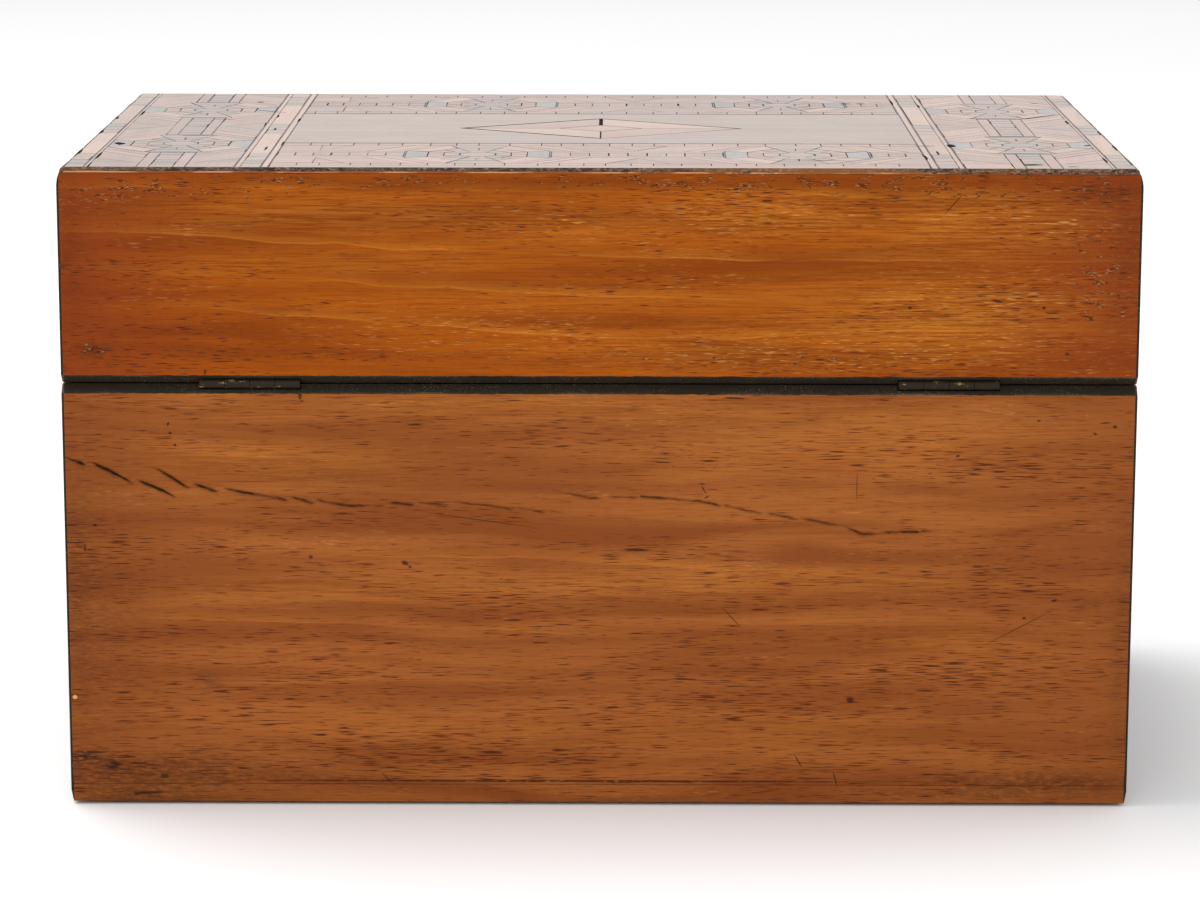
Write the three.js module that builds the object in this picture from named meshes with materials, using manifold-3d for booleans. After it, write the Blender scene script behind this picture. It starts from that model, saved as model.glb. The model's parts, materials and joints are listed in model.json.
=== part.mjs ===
// Tunbridge ware box: a hinged wooden box with an inlaid lid. Millimetres, +Z up.
// The front faces -Y and the hinged back faces +Y. The origin is under the box's middle, at the feet.
import * as THREE from 'three';
import { mergeVertices } from 'three/addons/utils/BufferGeometryUtils.js';
import Module from 'manifold-3d';

const wasm = await Module();
wasm.setup();

// Overall size
const WIDTH = 304.8;
const DEPTH = 191.5;
const BODY_HEIGHT = 184.3; // underside of the bottom board to the top of the lid
const JOINT_HEIGHT = 122.5; // underside of the bottom board to the middle of the lid joint
const JOINT_GAP = 0.4; // between the rim of the base and the rim of the lid

// Boards and veneers
const WALL = 9.5;
const BOTTOM_THICK = 5.3;
const TOP_THICK = 6.0;
const VENEER = 0.7;
const SHEET = 1.6; // inlaid sheet on the lid
const BEVEL = 2.3; // 45 degree bevels along the back, above and below the joint
const ARRIS_ROUND = 1.5; // rounding of the inlaid sheet's upper edge
const CORNER_ROUND = 1.0; // rounding of the inlaid sheet's corners in plan
const LEAST_ROUND = 0.05; // what is left of the corners' rounding at the top of the arris
const LEAST_EDGE = 0.1; // upright edge that stays under the rounded arris
const ROUND_STEPS = 4;

// Inlay fields, measured in from the sides of the lid and out from its middle
const EDGE_BAND = 8.6;
const END_PANEL = 41.3;
const CROSS_BAND = 9.6;
const CENTRE_PANEL_DEPTH = 77.5;
const LOZENGE = { halfWidth: 42.8, halfDepth: 26.0, innerHalfWidth: 12.4, innerHalfDepth: 8.0 };

// Stud feet
const FOOT_HEIGHT = 0.9;
const FOOT_RADIUS = 2.5;
const FOOT_SOLE_RADIUS = 1.6;
const FOOT_SWELL_RADIUS = 2.3; // half way up
const FOOT_INSET_RIGHT = 11.4;
const FOOT_INSET_LEFT = 6.9;
const FOOT_INSET_DEPTH = 5.5;
const FOOT_SIDES = 16;

// Hinges
const HINGE_INSET = 53.4; // from each side of the box to the middle of its hinge
const HINGE_LENGTH = 28.5;
const LEAF_THICK = 1.2;
const LEAF_REACH = 8.0; // from the back face to the inner edge of a leaf
const BARREL_INSET = 1.5; // from the back face to the pin line
const KNUCKLES = 4;
const KNUCKLE_GAP = 0.15;
const PIN_RADIUS = 0.6;
const PIN_CLEARANCE = 0.06;
const MORTISE_CLEARANCE = 0.2;
const ROUND_SIDES = 24;

// Hinge screws
const SCREW_SPACING = 16.5;
const SCREW_HEAD_RADIUS = 1.8;
const SCREW_HEAD_DEPTH = 1.0;
const SCREW_RADIUS = 0.8;
const SCREW_LENGTH = 7.5;
const SCREW_POINT = 1.6; // length of the tapered point
const SCREW_CLEARANCE = 0.1;
const SLOT_WIDTH = 0.5;
const SLOT_DEPTH = 0.45;
const SCREW_SIDES = 12;

// Levels and faces worked out from the sizes above
const halfWidth = WIDTH / 2;
const halfDepth = DEPTH / 2;
const boardHalfWidth = halfWidth - VENEER;
const innerHalfWidth = boardHalfWidth - WALL;
const boardFront = -halfDepth + VENEER;
const innerFront = boardFront + WALL;
const innerBack = halfDepth - WALL;
const undersideZ = FOOT_HEIGHT;
const floorZ = undersideZ + BOTTOM_THICK;
const jointZ = undersideZ + JOINT_HEIGHT;
const baseRimZ = jointZ - JOINT_GAP / 2;
const lidRimZ = jointZ + JOINT_GAP / 2;
const topZ = undersideZ + BODY_HEIGHT;
const sheetZ = topZ - SHEET;
const ceilingZ = sheetZ - TOP_THICK;
const barrelRadius = LEAF_THICK + JOINT_GAP / 2;
const pinY = halfDepth - BARREL_INSET;
const overrun = 2; // how far a cutter runs past the face that it opens

// Finishes
const finish = (color, roughness, metalness = 0) => new THREE.MeshStandardMaterial({ color, roughness, metalness });
const backWood = finish(0x9a5220, 0.4);
const insideWood = finish(0x8a5a34, 0.6);
const veneerWood = finish(0x4a2a1c, 0.35);
const bandWood = finish(0xb9a08a, 0.4);
const panelWood = finish(0xb48a78, 0.4);
const centreWood = finish(0x9d8a78, 0.4);
const paleWood = finish(0xd0b8a2, 0.4);
const hingeBrass = finish(0x5a4c34, 0.5, 1);
const screwSteel = finish(0x4c463e, 0.5, 1);
const footWood = finish(0x3a2416, 0.5);

const box = new THREE.Group();
const base = new THREE.Group();
const lid = new THREE.Group();
box.add(base, lid);

function place(group, name, geometry, material) {
  const mesh = new THREE.Mesh(geometry, material);
  mesh.name = name;
  group.add(mesh);
  return mesh;
}

// A closed mesh as a solid that can be cut and joined. Faces that closed up at a pole are dropped.
function solid(geometry) {
  const bare = geometry.clone();
  bare.deleteAttribute('normal');
  bare.deleteAttribute('uv');
  const merged = mergeVertices(bare, 1e-4);
  const index = Array.from(merged.index.array);
  const kept = [];
  for (let i = 0; i < index.length; i += 3) {
    const [a, b, c] = index.slice(i, i + 3);
    if (a !== b && b !== c && c !== a) kept.push(a, b, c);
  }
  const vertProperties = new Float32Array(merged.attributes.position.array);
  const triVerts = new Uint32Array(kept);
  return new wasm.Manifold(new wasm.Mesh({ numProp: 3, vertProperties, triVerts }));
}

function geometryOf(body) {
  const mesh = body.getMesh();
  const geometry = new THREE.BufferGeometry();
  geometry.setAttribute('position', new THREE.BufferAttribute(new Float32Array(mesh.vertProperties), 3));
  geometry.setIndex(new THREE.BufferAttribute(new Uint32Array(mesh.triVerts), 1));
  geometry.computeVertexNormals();
  return geometry;
}

// A rectangular block between two opposite corners.
function block([x0, y0, z0], [x1, y1, z1]) {
  const geometry = new THREE.BoxGeometry(1, 1, 1);
  const corners = geometry.attributes.position;
  const pick = (side, low, high) => (side < 0 ? low : high);
  for (let i = 0; i < corners.count; i += 1) {
    const x = pick(corners.getX(i), x0, x1);
    const y = pick(corners.getY(i), y0, y1);
    const z = pick(corners.getZ(i), z0, z1);
    corners.setXYZ(i, x, y, z);
  }
  return geometry;
}

// An outline drawn in the Y-Z plane and carried along X from x0 to x1.
function prismAlongX(outline, x0, x1) {
  const shape = new THREE.Shape(outline.map(([y, z]) => new THREE.Vector2(y, z)));
  const geometry = new THREE.ExtrudeGeometry(shape, { depth: 1, bevelEnabled: false });
  const points = geometry.attributes.position;
  for (let i = 0; i < points.count; i += 1) {
    const x = points.getZ(i) < 0.5 ? x0 : x1;
    points.setXYZ(i, x, points.getX(i), points.getY(i));
  }
  return geometry;
}

// An outline drawn in plan, with holes in it if there are any, standing from z0 to z1.
function prismAlongZ(outline, z0, z1, holes = []) {
  const vectors = (points) => points.map(([x, y]) => new THREE.Vector2(x, y));
  const shape = new THREE.Shape(vectors(outline));
  shape.holes.push(...holes.map((hole) => new THREE.Path(vectors(hole))));
  const geometry = new THREE.ExtrudeGeometry(shape, { depth: 1, bevelEnabled: false });
  const points = geometry.attributes.position;
  for (let i = 0; i < points.count; i += 1) {
    points.setZ(i, points.getZ(i) < 0.5 ? z0 : z1);
  }
  return geometry;
}

// A profile of [radius, height] points turned about the Z axis.
function turned(profile, sides) {
  const points = profile.map(([radius, height]) => new THREE.Vector2(radius, height));
  return new THREE.LatheGeometry(points, sides).rotateX(Math.PI / 2);
}

function circle(radius, y, z, sides) {
  return Array.from({ length: sides }, (_, i) => {
    const angle = ((i + 0.5) * 2 * Math.PI) / sides;
    return [y + radius * Math.cos(angle), z + radius * Math.sin(angle)];
  });
}

// Outline of a piece that ends at the back face, bevelled at its joint edge.
// toward is +1 where the joint edge is the upper one, as on the base, and -1 on the lid.
function bevelledOutline(frontY, farZ, rimZ, toward) {
  return [
    [frontY, farZ],
    [halfDepth, farZ],
    [halfDepth, rimZ - toward * BEVEL],
    [halfDepth - BEVEL, rimZ],
    [frontY, rimZ],
  ];
}

// Screws: a countersunk head, a straight shank and a point, hanging down from the head's face.
function screwProfile(grow) {
  const shank = SCREW_RADIUS + grow;
  const tipStart = -(SCREW_LENGTH - SCREW_POINT);
  return [
    [0, -SCREW_LENGTH - grow],
    [shank, tipStart - grow],
    [shank, -SCREW_HEAD_DEPTH],
    [SCREW_HEAD_RADIUS + grow, 0],
    [0, 0],
  ];
}

const screwSlot = solid(block(
  [-SCREW_HEAD_RADIUS - overrun, -SLOT_WIDTH / 2, -SLOT_DEPTH],
  [SCREW_HEAD_RADIUS + overrun, SLOT_WIDTH / 2, overrun],
));
const screwBody = solid(turned(screwProfile(0), SCREW_SIDES)).subtract(screwSlot);
const screwHole = solid(turned(screwProfile(SCREW_CLEARANCE), SCREW_SIDES));

// The middle of a leaf's flat part, where the screws go, measured from the back face.
const leafFlatStart = BARREL_INSET + barrelRadius + MORTISE_CLEARANCE;
const screwInset = (leafFlatStart + LEAF_REACH) / 2;
const screwPlaces = [-SCREW_SPACING / 2, SCREW_SPACING / 2];

// A hinge's own frame: X along the pin, Y out from the back face, Z up from the joint's middle.
// What is made for the lower leaf is mirrored in the joint's middle for the upper one.
const upright = (body, side) => (side < 0 ? body : body.mirror([0, 0, 1]));

function screwAt(shape, x, side) {
  return upright(shape.translate([x, -screwInset, -JOINT_GAP / 2]), side);
}

// A leaf: a flat plate, and the knuckles that are its own turn, with webs to the plate.
function leafSolid(side) {
  const low = -barrelRadius;
  const high = -JOINT_GAP / 2;
  let leaf = solid(block([-HINGE_LENGTH / 2, -LEAF_REACH, low], [HINGE_LENGTH / 2, -leafFlatStart, high]));
  const pitch = HINGE_LENGTH / KNUCKLES;
  const first = side < 0 ? 0 : 1;
  for (let k = first; k < KNUCKLES; k += 2) {
    const x0 = -HINGE_LENGTH / 2 + k * pitch + (k > 0 ? KNUCKLE_GAP / 2 : 0);
    const x1 = -HINGE_LENGTH / 2 + (k + 1) * pitch - (k < KNUCKLES - 1 ? KNUCKLE_GAP / 2 : 0);
    const web = solid(block([x0, -leafFlatStart - MORTISE_CLEARANCE, low], [x1, -BARREL_INSET, high]));
    const knuckle = solid(prismAlongX(circle(barrelRadius, -BARREL_INSET, 0, ROUND_SIDES), x0, x1));
    leaf = leaf.add(web).add(knuckle);
  }
  const boreRadius = PIN_RADIUS + PIN_CLEARANCE;
  const boreEnd = HINGE_LENGTH / 2 + overrun;
  const bore = solid(prismAlongX(circle(boreRadius, -BARREL_INSET, 0, ROUND_SIDES), -boreEnd, boreEnd));
  leaf = upright(leaf.subtract(bore), side);
  for (const x of screwPlaces) leaf = leaf.subtract(screwAt(screwHole, x, side));
  return leaf;
}

// What a leaf takes out of the board that it is let into: its own bed, room for the barrel to turn
// in, and the screws' holes.
function mortise(side) {
  const halfBed = HINGE_LENGTH / 2 + MORTISE_CLEARANCE;
  const roomDepth = barrelRadius + MORTISE_CLEARANCE;
  const bed = solid(block([-halfBed, -LEAF_REACH - MORTISE_CLEARANCE, -barrelRadius], [halfBed, overrun, overrun]));
  const room = solid(block([-halfBed, -leafFlatStart, -roomDepth], [halfBed, overrun, overrun]));
  let cut = upright(bed.add(room), side);
  for (const x of screwPlaces) cut = cut.add(screwAt(screwHole, x, side));
  return cut;
}

const hinges = [['left', -halfWidth + HINGE_INSET], ['right', halfWidth - HINGE_INSET]];

function letInHinges(board, side) {
  const cuts = hinges.map(([, x]) => mortise(side).translate([x, halfDepth, jointZ]));
  return cuts.reduce((rest, cut) => rest.subtract(cut), board);
}

// Walls, with the back board's joint edge bevelled and let out for the hinges
function addWalls(group, prefix, low, high, rimZ, side) {
  const farZ = side < 0 ? low : high;
  const outline = bevelledOutline(innerBack, farZ, rimZ, -side);
  const back = solid(prismAlongX(outline, -boardHalfWidth, boardHalfWidth));
  place(group, `${prefix}_back_board`, geometryOf(letInHinges(back, side)), backWood);
  const front = block([-boardHalfWidth, boardFront, low], [boardHalfWidth, innerFront, high]);
  place(group, `${prefix}_front_board`, front, insideWood);
  const left = block([-boardHalfWidth, innerFront, low], [-innerHalfWidth, innerBack, high]);
  place(group, `${prefix}_left_board`, left, insideWood);
  const right = block([innerHalfWidth, innerFront, low], [boardHalfWidth, innerBack, high]);
  place(group, `${prefix}_right_board`, right, insideWood);
}

// Veneers on the front and sides. The side ones run to the back face and share its bevel.
function addVeneers(group, prefix, low, high, rimZ, side) {
  const farZ = side < 0 ? low : high;
  const outline = bevelledOutline(boardFront, farZ, rimZ, -side);
  place(group, `${prefix}_left_veneer`, prismAlongX(outline, -halfWidth, -boardHalfWidth), veneerWood);
  place(group, `${prefix}_right_veneer`, prismAlongX(outline, boardHalfWidth, halfWidth), veneerWood);
  const front = block([-halfWidth, -halfDepth, low], [halfWidth, boardFront, high]);
  place(group, `${prefix}_front_veneer`, front, veneerWood);
}

function addFeet() {
  const profile = [
    [0, 0],
    [FOOT_SOLE_RADIUS, 0],
    [FOOT_SWELL_RADIUS, FOOT_HEIGHT / 2],
    [FOOT_RADIUS, FOOT_HEIGHT],
    [0, FOOT_HEIGHT],
  ];
  const columns = [['left', -halfWidth + FOOT_INSET_LEFT], ['right', halfWidth - FOOT_INSET_RIGHT]];
  const rows = [['front', -halfDepth + FOOT_INSET_DEPTH], ['back', halfDepth - FOOT_INSET_DEPTH]];
  for (const [row, y] of rows) {
    for (const [column, x] of columns) {
      const foot = solid(turned(profile, FOOT_SIDES));
      place(base, `foot_${row}_${column}`, geometryOf(foot), footWood).position.set(x, y, 0);
    }
  }
}

function addHinges() {
  const leaves = [['base', base, -1], ['lid', lid, 1]];
  for (const [name, x] of hinges) {
    for (const [holder, group, side] of leaves) {
      const leaf = geometryOf(leafSolid(side));
      place(group, `hinge_${name}_${holder}_leaf`, leaf, hingeBrass).position.set(x, halfDepth, jointZ);
      screwPlaces.forEach((screwX, i) => {
        const screw = geometryOf(screwAt(screwBody, screwX, side));
        const mesh = place(group, `hinge_${name}_${holder}_screw_${i + 1}`, screw, screwSteel);
        mesh.position.set(x, halfDepth, jointZ);
      });
    }
    const pin = prismAlongX(circle(PIN_RADIUS, 0, 0, ROUND_SIDES), -HINGE_LENGTH / 2, HINGE_LENGTH / 2);
    place(base, `hinge_${name}_pin`, pin, hingeBrass).position.set(x, pinY, jointZ);
  }
}

// The inlaid sheet's outside: a flat sheet with rounded corners and a rounded upper edge.
function roundedRectangle(inset, radius) {
  const points = [];
  const corners = [[1, 1, 0], [-1, 1, 1], [-1, -1, 2], [1, -1, 3]];
  for (const [sx, sy, quarter] of corners) {
    const cx = sx * (halfWidth - inset - radius);
    const cy = sy * (halfDepth - inset - radius);
    for (let i = 0; i <= ROUND_STEPS; i += 1) {
      const angle = ((quarter + i / ROUND_STEPS) * Math.PI) / 2;
      points.push([cx + radius * Math.cos(angle), cy + radius * Math.sin(angle)]);
    }
  }
  return points;
}

function sheetSolid() {
  const round = Math.min(ARRIS_ROUND, SHEET - LEAST_EDGE);
  let sheet = solid(prismAlongZ(roundedRectangle(0, CORNER_ROUND), sheetZ, topZ - round));
  for (let i = 0; i < ROUND_STEPS; i += 1) {
    const ring = (step) => {
      const angle = ((step / ROUND_STEPS) * Math.PI) / 2;
      const inset = round * (1 - Math.cos(angle));
      const outline = roundedRectangle(inset, Math.max(CORNER_ROUND - inset, LEAST_ROUND));
      return outline.map(([x, y]) => [x, y, topZ - round + round * Math.sin(angle)]);
    };
    sheet = sheet.add(solid(frustum(ring(i), ring(i + 1))));
  }
  return sheet;
}

// A closed layer between two outlines with the same number of points.
function frustum(lower, upper) {
  const count = lower.length;
  const index = [];
  for (let i = 0; i < count; i += 1) {
    const next = (i + 1) % count;
    index.push(i, next, count + next, i, count + next, count + i);
    if (i > 0 && i < count - 1) {
      index.push(0, i + 1, i);
      index.push(count, count + i, count + i + 1);
    }
  }
  const geometry = new THREE.BufferGeometry();
  geometry.setAttribute('position', new THREE.Float32BufferAttribute([...lower, ...upper].flat(), 3));
  geometry.setIndex(index);
  return geometry;
}

// The fields of the inlay, flush with each other, cut from the sheet on straight joints
function addInlay() {
  const sheet = sheetSolid();
  const field = (name, x0, x1, y0, y1, material) => {
    const cutter = solid(block([x0, y0, sheetZ - overrun], [x1, y1, topZ + overrun]));
    place(lid, `inlay_${name}`, geometryOf(sheet.intersect(cutter)), material);
  };
  const outside = halfWidth + overrun;
  const edge = halfWidth - EDGE_BAND;
  const panel = edge - END_PANEL;
  const cross = panel - CROSS_BAND;
  const rowEnd = halfDepth + overrun;
  const centre = CENTRE_PANEL_DEPTH / 2;
  field('left_edge_band', -outside, -edge, -rowEnd, rowEnd, bandWood);
  field('left_panel', -edge, -panel, -rowEnd, rowEnd, panelWood);
  field('left_cross_band', -panel, -cross, -rowEnd, rowEnd, bandWood);
  field('front_band', -cross, cross, -rowEnd, -centre, panelWood);
  field('back_band', -cross, cross, centre, rowEnd, panelWood);
  field('right_cross_band', cross, panel, -rowEnd, rowEnd, bandWood);
  field('right_panel', panel, edge, -rowEnd, rowEnd, panelWood);
  field('right_edge_band', edge, outside, -rowEnd, rowEnd, bandWood);

  const outer = [[-LOZENGE.halfWidth, 0], [0, -LOZENGE.halfDepth], [LOZENGE.halfWidth, 0], [0, LOZENGE.halfDepth]];
  const inner = [
    [-LOZENGE.innerHalfWidth, 0],
    [0, -LOZENGE.innerHalfDepth],
    [LOZENGE.innerHalfWidth, 0],
    [0, LOZENGE.innerHalfDepth],
  ];
  const surround = [[-cross, -centre], [cross, -centre], [cross, centre], [-cross, centre]];
  place(lid, 'inlay_centre_panel', prismAlongZ(surround, sheetZ, topZ, [outer]), centreWood);
  ['front_left', 'front_right', 'back_right', 'back_left'].forEach((name, i) => {
    const next = (i + 1) % 4;
    const facet = [outer[i], outer[next], inner[next], inner[i]];
    const wood = i % 2 === 0 ? paleWood : panelWood;
    place(lid, `inlay_lozenge_${name}`, prismAlongZ(facet, sheetZ, topZ), wood);
  });
  place(lid, 'inlay_lozenge_centre', prismAlongZ(inner, sheetZ, topZ), paleWood);
}

addWalls(base, 'base', floorZ, baseRimZ, baseRimZ, -1);
addVeneers(base, 'base', undersideZ, baseRimZ, baseRimZ, -1);
const bottom = block([-boardHalfWidth, boardFront, undersideZ], [boardHalfWidth, halfDepth, floorZ]);
place(base, 'base_bottom_board', bottom, insideWood);
addFeet();

addWalls(lid, 'lid', lidRimZ, sheetZ, lidRimZ, 1);
addVeneers(lid, 'lid', lidRimZ, sheetZ, lidRimZ, 1);
const top = block([-innerHalfWidth, innerFront, ceilingZ], [innerHalfWidth, innerBack, sheetZ]);
place(lid, 'lid_top_board', top, insideWood);
addInlay();

addHinges();

export default box;
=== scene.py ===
"""Looks of the tunbridge ware box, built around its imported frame. Metres, +Z up.

The front faces -Y and the hinged back faces +Y. The camera stands behind the box and looks along -Y.
"""
import json
import math

import bpy
import numpy as np
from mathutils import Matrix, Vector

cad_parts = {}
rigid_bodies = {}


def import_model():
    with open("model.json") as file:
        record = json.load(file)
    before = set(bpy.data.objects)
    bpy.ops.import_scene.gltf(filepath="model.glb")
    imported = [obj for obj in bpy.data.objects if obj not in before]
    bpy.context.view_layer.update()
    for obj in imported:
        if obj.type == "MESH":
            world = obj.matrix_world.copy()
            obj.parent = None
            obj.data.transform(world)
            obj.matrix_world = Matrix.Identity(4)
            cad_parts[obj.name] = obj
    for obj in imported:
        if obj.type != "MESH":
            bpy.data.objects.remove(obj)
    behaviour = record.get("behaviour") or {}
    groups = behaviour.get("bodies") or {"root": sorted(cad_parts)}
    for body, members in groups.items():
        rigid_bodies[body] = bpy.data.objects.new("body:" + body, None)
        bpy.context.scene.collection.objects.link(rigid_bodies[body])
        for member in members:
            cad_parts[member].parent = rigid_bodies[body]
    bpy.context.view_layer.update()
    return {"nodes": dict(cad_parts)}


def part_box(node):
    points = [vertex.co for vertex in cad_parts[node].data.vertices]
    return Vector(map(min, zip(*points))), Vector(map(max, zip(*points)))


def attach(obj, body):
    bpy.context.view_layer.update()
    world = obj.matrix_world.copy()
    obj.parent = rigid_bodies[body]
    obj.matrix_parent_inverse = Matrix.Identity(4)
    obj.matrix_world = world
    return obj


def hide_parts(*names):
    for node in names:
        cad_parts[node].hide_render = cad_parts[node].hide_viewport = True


bl_info = {
    "name": "Tunbridge ware box",
    "version": (1, 0, 0),
    "blender": (4, 5, 0),
    "location": "View3D > Sidebar > Tunbridge Box",
    "description": "Builds the boards, veneers, inlay and hinges of a tunbridge ware box",
    "category": "Add Mesh",
}

for leftover in list(bpy.data.objects):
    bpy.data.objects.remove(leftover)
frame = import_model()
MM = 0.001


def span(node):
    """Lowest and highest corner of a CAD node, as arrays in metres."""
    low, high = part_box(node)
    return np.array(low), np.array(high)


# Faces and levels of the CAD frame
BASE_BACK_LOW, BASE_BACK_HIGH = span("base_back_board")
LID_BACK_LOW, LID_BACK_HIGH = span("lid_back_board")
SHEET_LOW, SHEET_HIGH = span("inlay_centre_panel")
EDGE_LOW, EDGE_HIGH = span("inlay_right_edge_band")
BACK_Y = BASE_BACK_HIGH[1]
JOINT_Z = (BASE_BACK_HIGH[2] + LID_BACK_LOW[2]) / 2
TOP_Z = SHEET_HIGH[2]
SHEET_Z = SHEET_LOW[2]
HALF_WIDTH = EDGE_HIGH[0]
HALF_DEPTH = EDGE_HIGH[1]

# Joint and hinge beds, as in the CAD frame
BEVEL = 2.3 * MM
BED_DEPTH = 1.4 * MM
ROOM_DEPTH = 1.6 * MM
ROOM_INSET = 3.1 * MM
BED_INSET = 8.2 * MM
SHADED_RIM = 4.6 * MM  # how far in over the rim the joint has the dark bevel finish, as painted shade in the gap between lid and base

# Camera that took the photograph, in the box's frame
CAMERA_PLACE = (-0.004167, 1.193846, 0.324577)
CAMERA_TURN = (78.6867, -0.0943, -179.7763)
CAMERA_LENS = 118.36
SENSOR = 36.0
PHOTO_WIDTH = 1200
PHOTO_HEIGHT = 899


def linear(red, green, blue):
    """Linear colour of an 8 bit display colour."""
    share = np.array([red, green, blue]) / 255
    return tuple(np.where(share <= 0.04045, share / 12.92, ((share + 0.055) / 1.055) ** 2.4))


def length(name, description, default):
    return bpy.props.FloatProperty(
        name=name, description=description, default=default, min=0, unit="LENGTH", subtype="DISTANCE", precision=5
    )


def colour(name, description, default):
    return bpy.props.FloatVectorProperty(
        name=name, description=description, default=default, size=3, min=0, max=1, subtype="COLOR"
    )


class TunbridgeSizes(bpy.types.PropertyGroup):
    """Sizes of the finish that a maker would change."""

    arris: length("Arris", "Rounding of the boards' edges", 0.3 * MM)
    wave: length("Board waviness", "How far a board's face departs from flat", 0.05 * MM)
    crack_depth: length("Crack depth", "Depth of the cracks in the back board", 0.45 * MM)
    crack_width: length("Crack width", "Width of the cracks in the back board", 0.95 * MM)
    side_round: length("Side rounding", "Worn rounding of the lid's top edge at the sides, in plan", 2.6 * MM)
    back_round: length("Back rounding", "Worn rounding of the lid's top edge along the back and front", 0.7 * MM)
    round_drop: length("Rounding drop", "Height of the worn rounding", 1.5 * MM)
    glue_line: length("Glue line", "Width of the dark joint between two pieces of inlay", 0.2 * MM)
    outline: length("Lozenge outline", "Width of the dark outline of the lozenge", 0.8 * MM)
    bed: length("Bed", "Depth of the dark bed under the glue lines", 0.03 * MM)
    leaf_soft: length("Brass softening", "Rounding of the hinges' edges", 0.12 * MM)


class TunbridgeColours(bpy.types.PropertyGroup):
    """Colours of the woods and metals."""

    lid_wood: colour("Back of the lid", "Main colour of the lid's back", linear(162, 80, 12))
    lid_deep: colour("Back of the lid, deep", "Darker, redder bands of the lid's back", linear(130, 58, 10))
    # The base's two colours are lighter and greyer than the lid's over the same wood: painted reflection of the pale
    # floor in the base's varnish.
    base_wood_and_reflection: colour("Back of the base", "Main colour of the base's back", linear(162, 94, 42))
    base_deep_and_reflection: colour("Back of the base, deep", "Darker, redder bands of the base's back", linear(133, 70, 29))
    # Golden also colours the glow zones, which are partly the wood's lighter figure and partly painted sheen.
    golden: colour("Golden wood", "Lighter zones and growth lines of the back", linear(198, 124, 42))
    # Reddish darkens the back toward both ends and round the pores.
    reddish: colour("Reddish wood", "Redder wood toward the ends of the back", linear(128, 54, 22))
    pore: colour("Pores", "Dark dashes in the grain", linear(72, 36, 18))
    # The bright flecks are partly the wood's own flecks and partly painted sheen.
    fleck: colour("Flecks", "Bright flecks in the grain", linear(228, 170, 98))
    # Grime also darkens the cracks, partly as painted shade, and the long strips along the back's ends, bottom and
    # joint.
    grime: colour("Grime", "Smudges, cracks and old marks", linear(44, 27, 18))
    pit: colour("Worn pits", "Grey spots where the varnish is worn through", linear(152, 136, 100))
    # Ebony also darkens the rim inside the joint, as painted shade in its gap.
    ebony: colour("Ebonised wood", "Bevels along the joint", linear(41, 35, 27))
    ebony_worn: colour("Ebonised wood, worn", "Worn spots on the bevels", linear(118, 104, 84))
    lipping: colour("Lipping", "Dark edge of the inlaid top", linear(92, 74, 62))
    lipping_gold: colour("Lipping, golden", "Golden stretches of the edge of the inlaid top", linear(142, 92, 44))
    lipping_worn: colour("Lipping, worn", "Rubbed spots on the edge of the inlaid top", linear(150, 120, 96))
    side_edge: colour("Side edge", "Worn strip along the sides of the top", linear(74, 63, 55))
    side_edge_worn: colour("Side edge, worn", "Palest parts of that strip", linear(138, 121, 109))
    peach_edge: colour("Pale edge", "Pale line under the lipping", linear(198, 140, 98))
    veneer: colour("Side veneer", "Main colour of the front and sides", linear(86, 46, 28))
    veneer_dark: colour("Side veneer, dark", "Dark figure of the front and sides", linear(42, 22, 15))
    carcass: colour("Inside wood", "Boards inside and underneath", linear(150, 104, 66))
    carcass_dark: colour("Inside wood, dark", "Darker figure of the inside boards", linear(116, 74, 44))
    foot: colour("Feet", "Turned studs", linear(56, 34, 22))
    brass: colour("Brass", "Rubbed brass of the hinges", linear(190, 150, 90))
    patina: colour("Patina", "Dark patina of the hinges", linear(40, 31, 19))
    iron: colour("Iron", "Screws", linear(92, 84, 76))
    glue: colour("Glue lines", "Dark joints of the inlay", linear(46, 36, 29))
    pink: colour("Pink wood", "Ground of the inlay", linear(166, 132, 117))
    tan: colour("Tan wood", "Small pieces of the inlay", linear(158, 128, 112))
    grey: colour("Grey wood", "Blocks and rungs of the inlay", linear(145, 131, 120))
    blue_grey: colour("Blue-grey wood", "Side pieces of the medallions", linear(136, 132, 127))
    lilac: colour("Lilac wood", "End pieces of the medallions", linear(149, 131, 123))
    peach: colour("Peach wood", "Slanting pieces and long blocks", linear(180, 146, 128))
    centre: colour("Centre panel", "Plain middle panel", linear(154, 132, 118))
    chip: colour("Chips", "Dark filling where veneer is lost", linear(40, 30, 24))


# Shapes

def ripple(place, seed, reach, height):
    """Slow waves along a line: the sum of five sine waves, with seeded lengths near reach and seeded phases."""
    rng = np.random.default_rng(seed)
    lengths = reach * rng.uniform(0.45, 1.8, 5)
    phases = rng.uniform(0, 2 * math.pi, 5)
    waves = np.sin(2 * math.pi * np.asarray(place)[..., None] / lengths + phases)
    return height * waves.mean(-1)


def carried(sections):
    """Faces of a closed outline carried along a path. sections is (stations, points, 3): each quad joins a
    point and the next one to the same two at the next station, and a face closes each end."""
    stations, count = sections.shape[:2]
    index = np.arange(stations * count).reshape(stations, count)
    near, far = index[:-1], index[1:]
    quads = np.stack([near, np.roll(near, -1, 1), np.roll(far, -1, 1), far], -1).reshape(-1, 4)
    return sections.reshape(-1, 3), [quads, np.stack([index[0][::-1], index[-1]])]


def enclosed_volume(points, faces):
    """Signed volume inside closed faces, each taken as a fan of triangles from its first corner."""
    total = 0.0
    for group in faces:
        first = points[group[:, :1]]
        second, third = points[group[:, 1:-1]], points[group[:, 2:]]
        total += (np.cross(second, third) * first).sum() / 6
    return total


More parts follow.
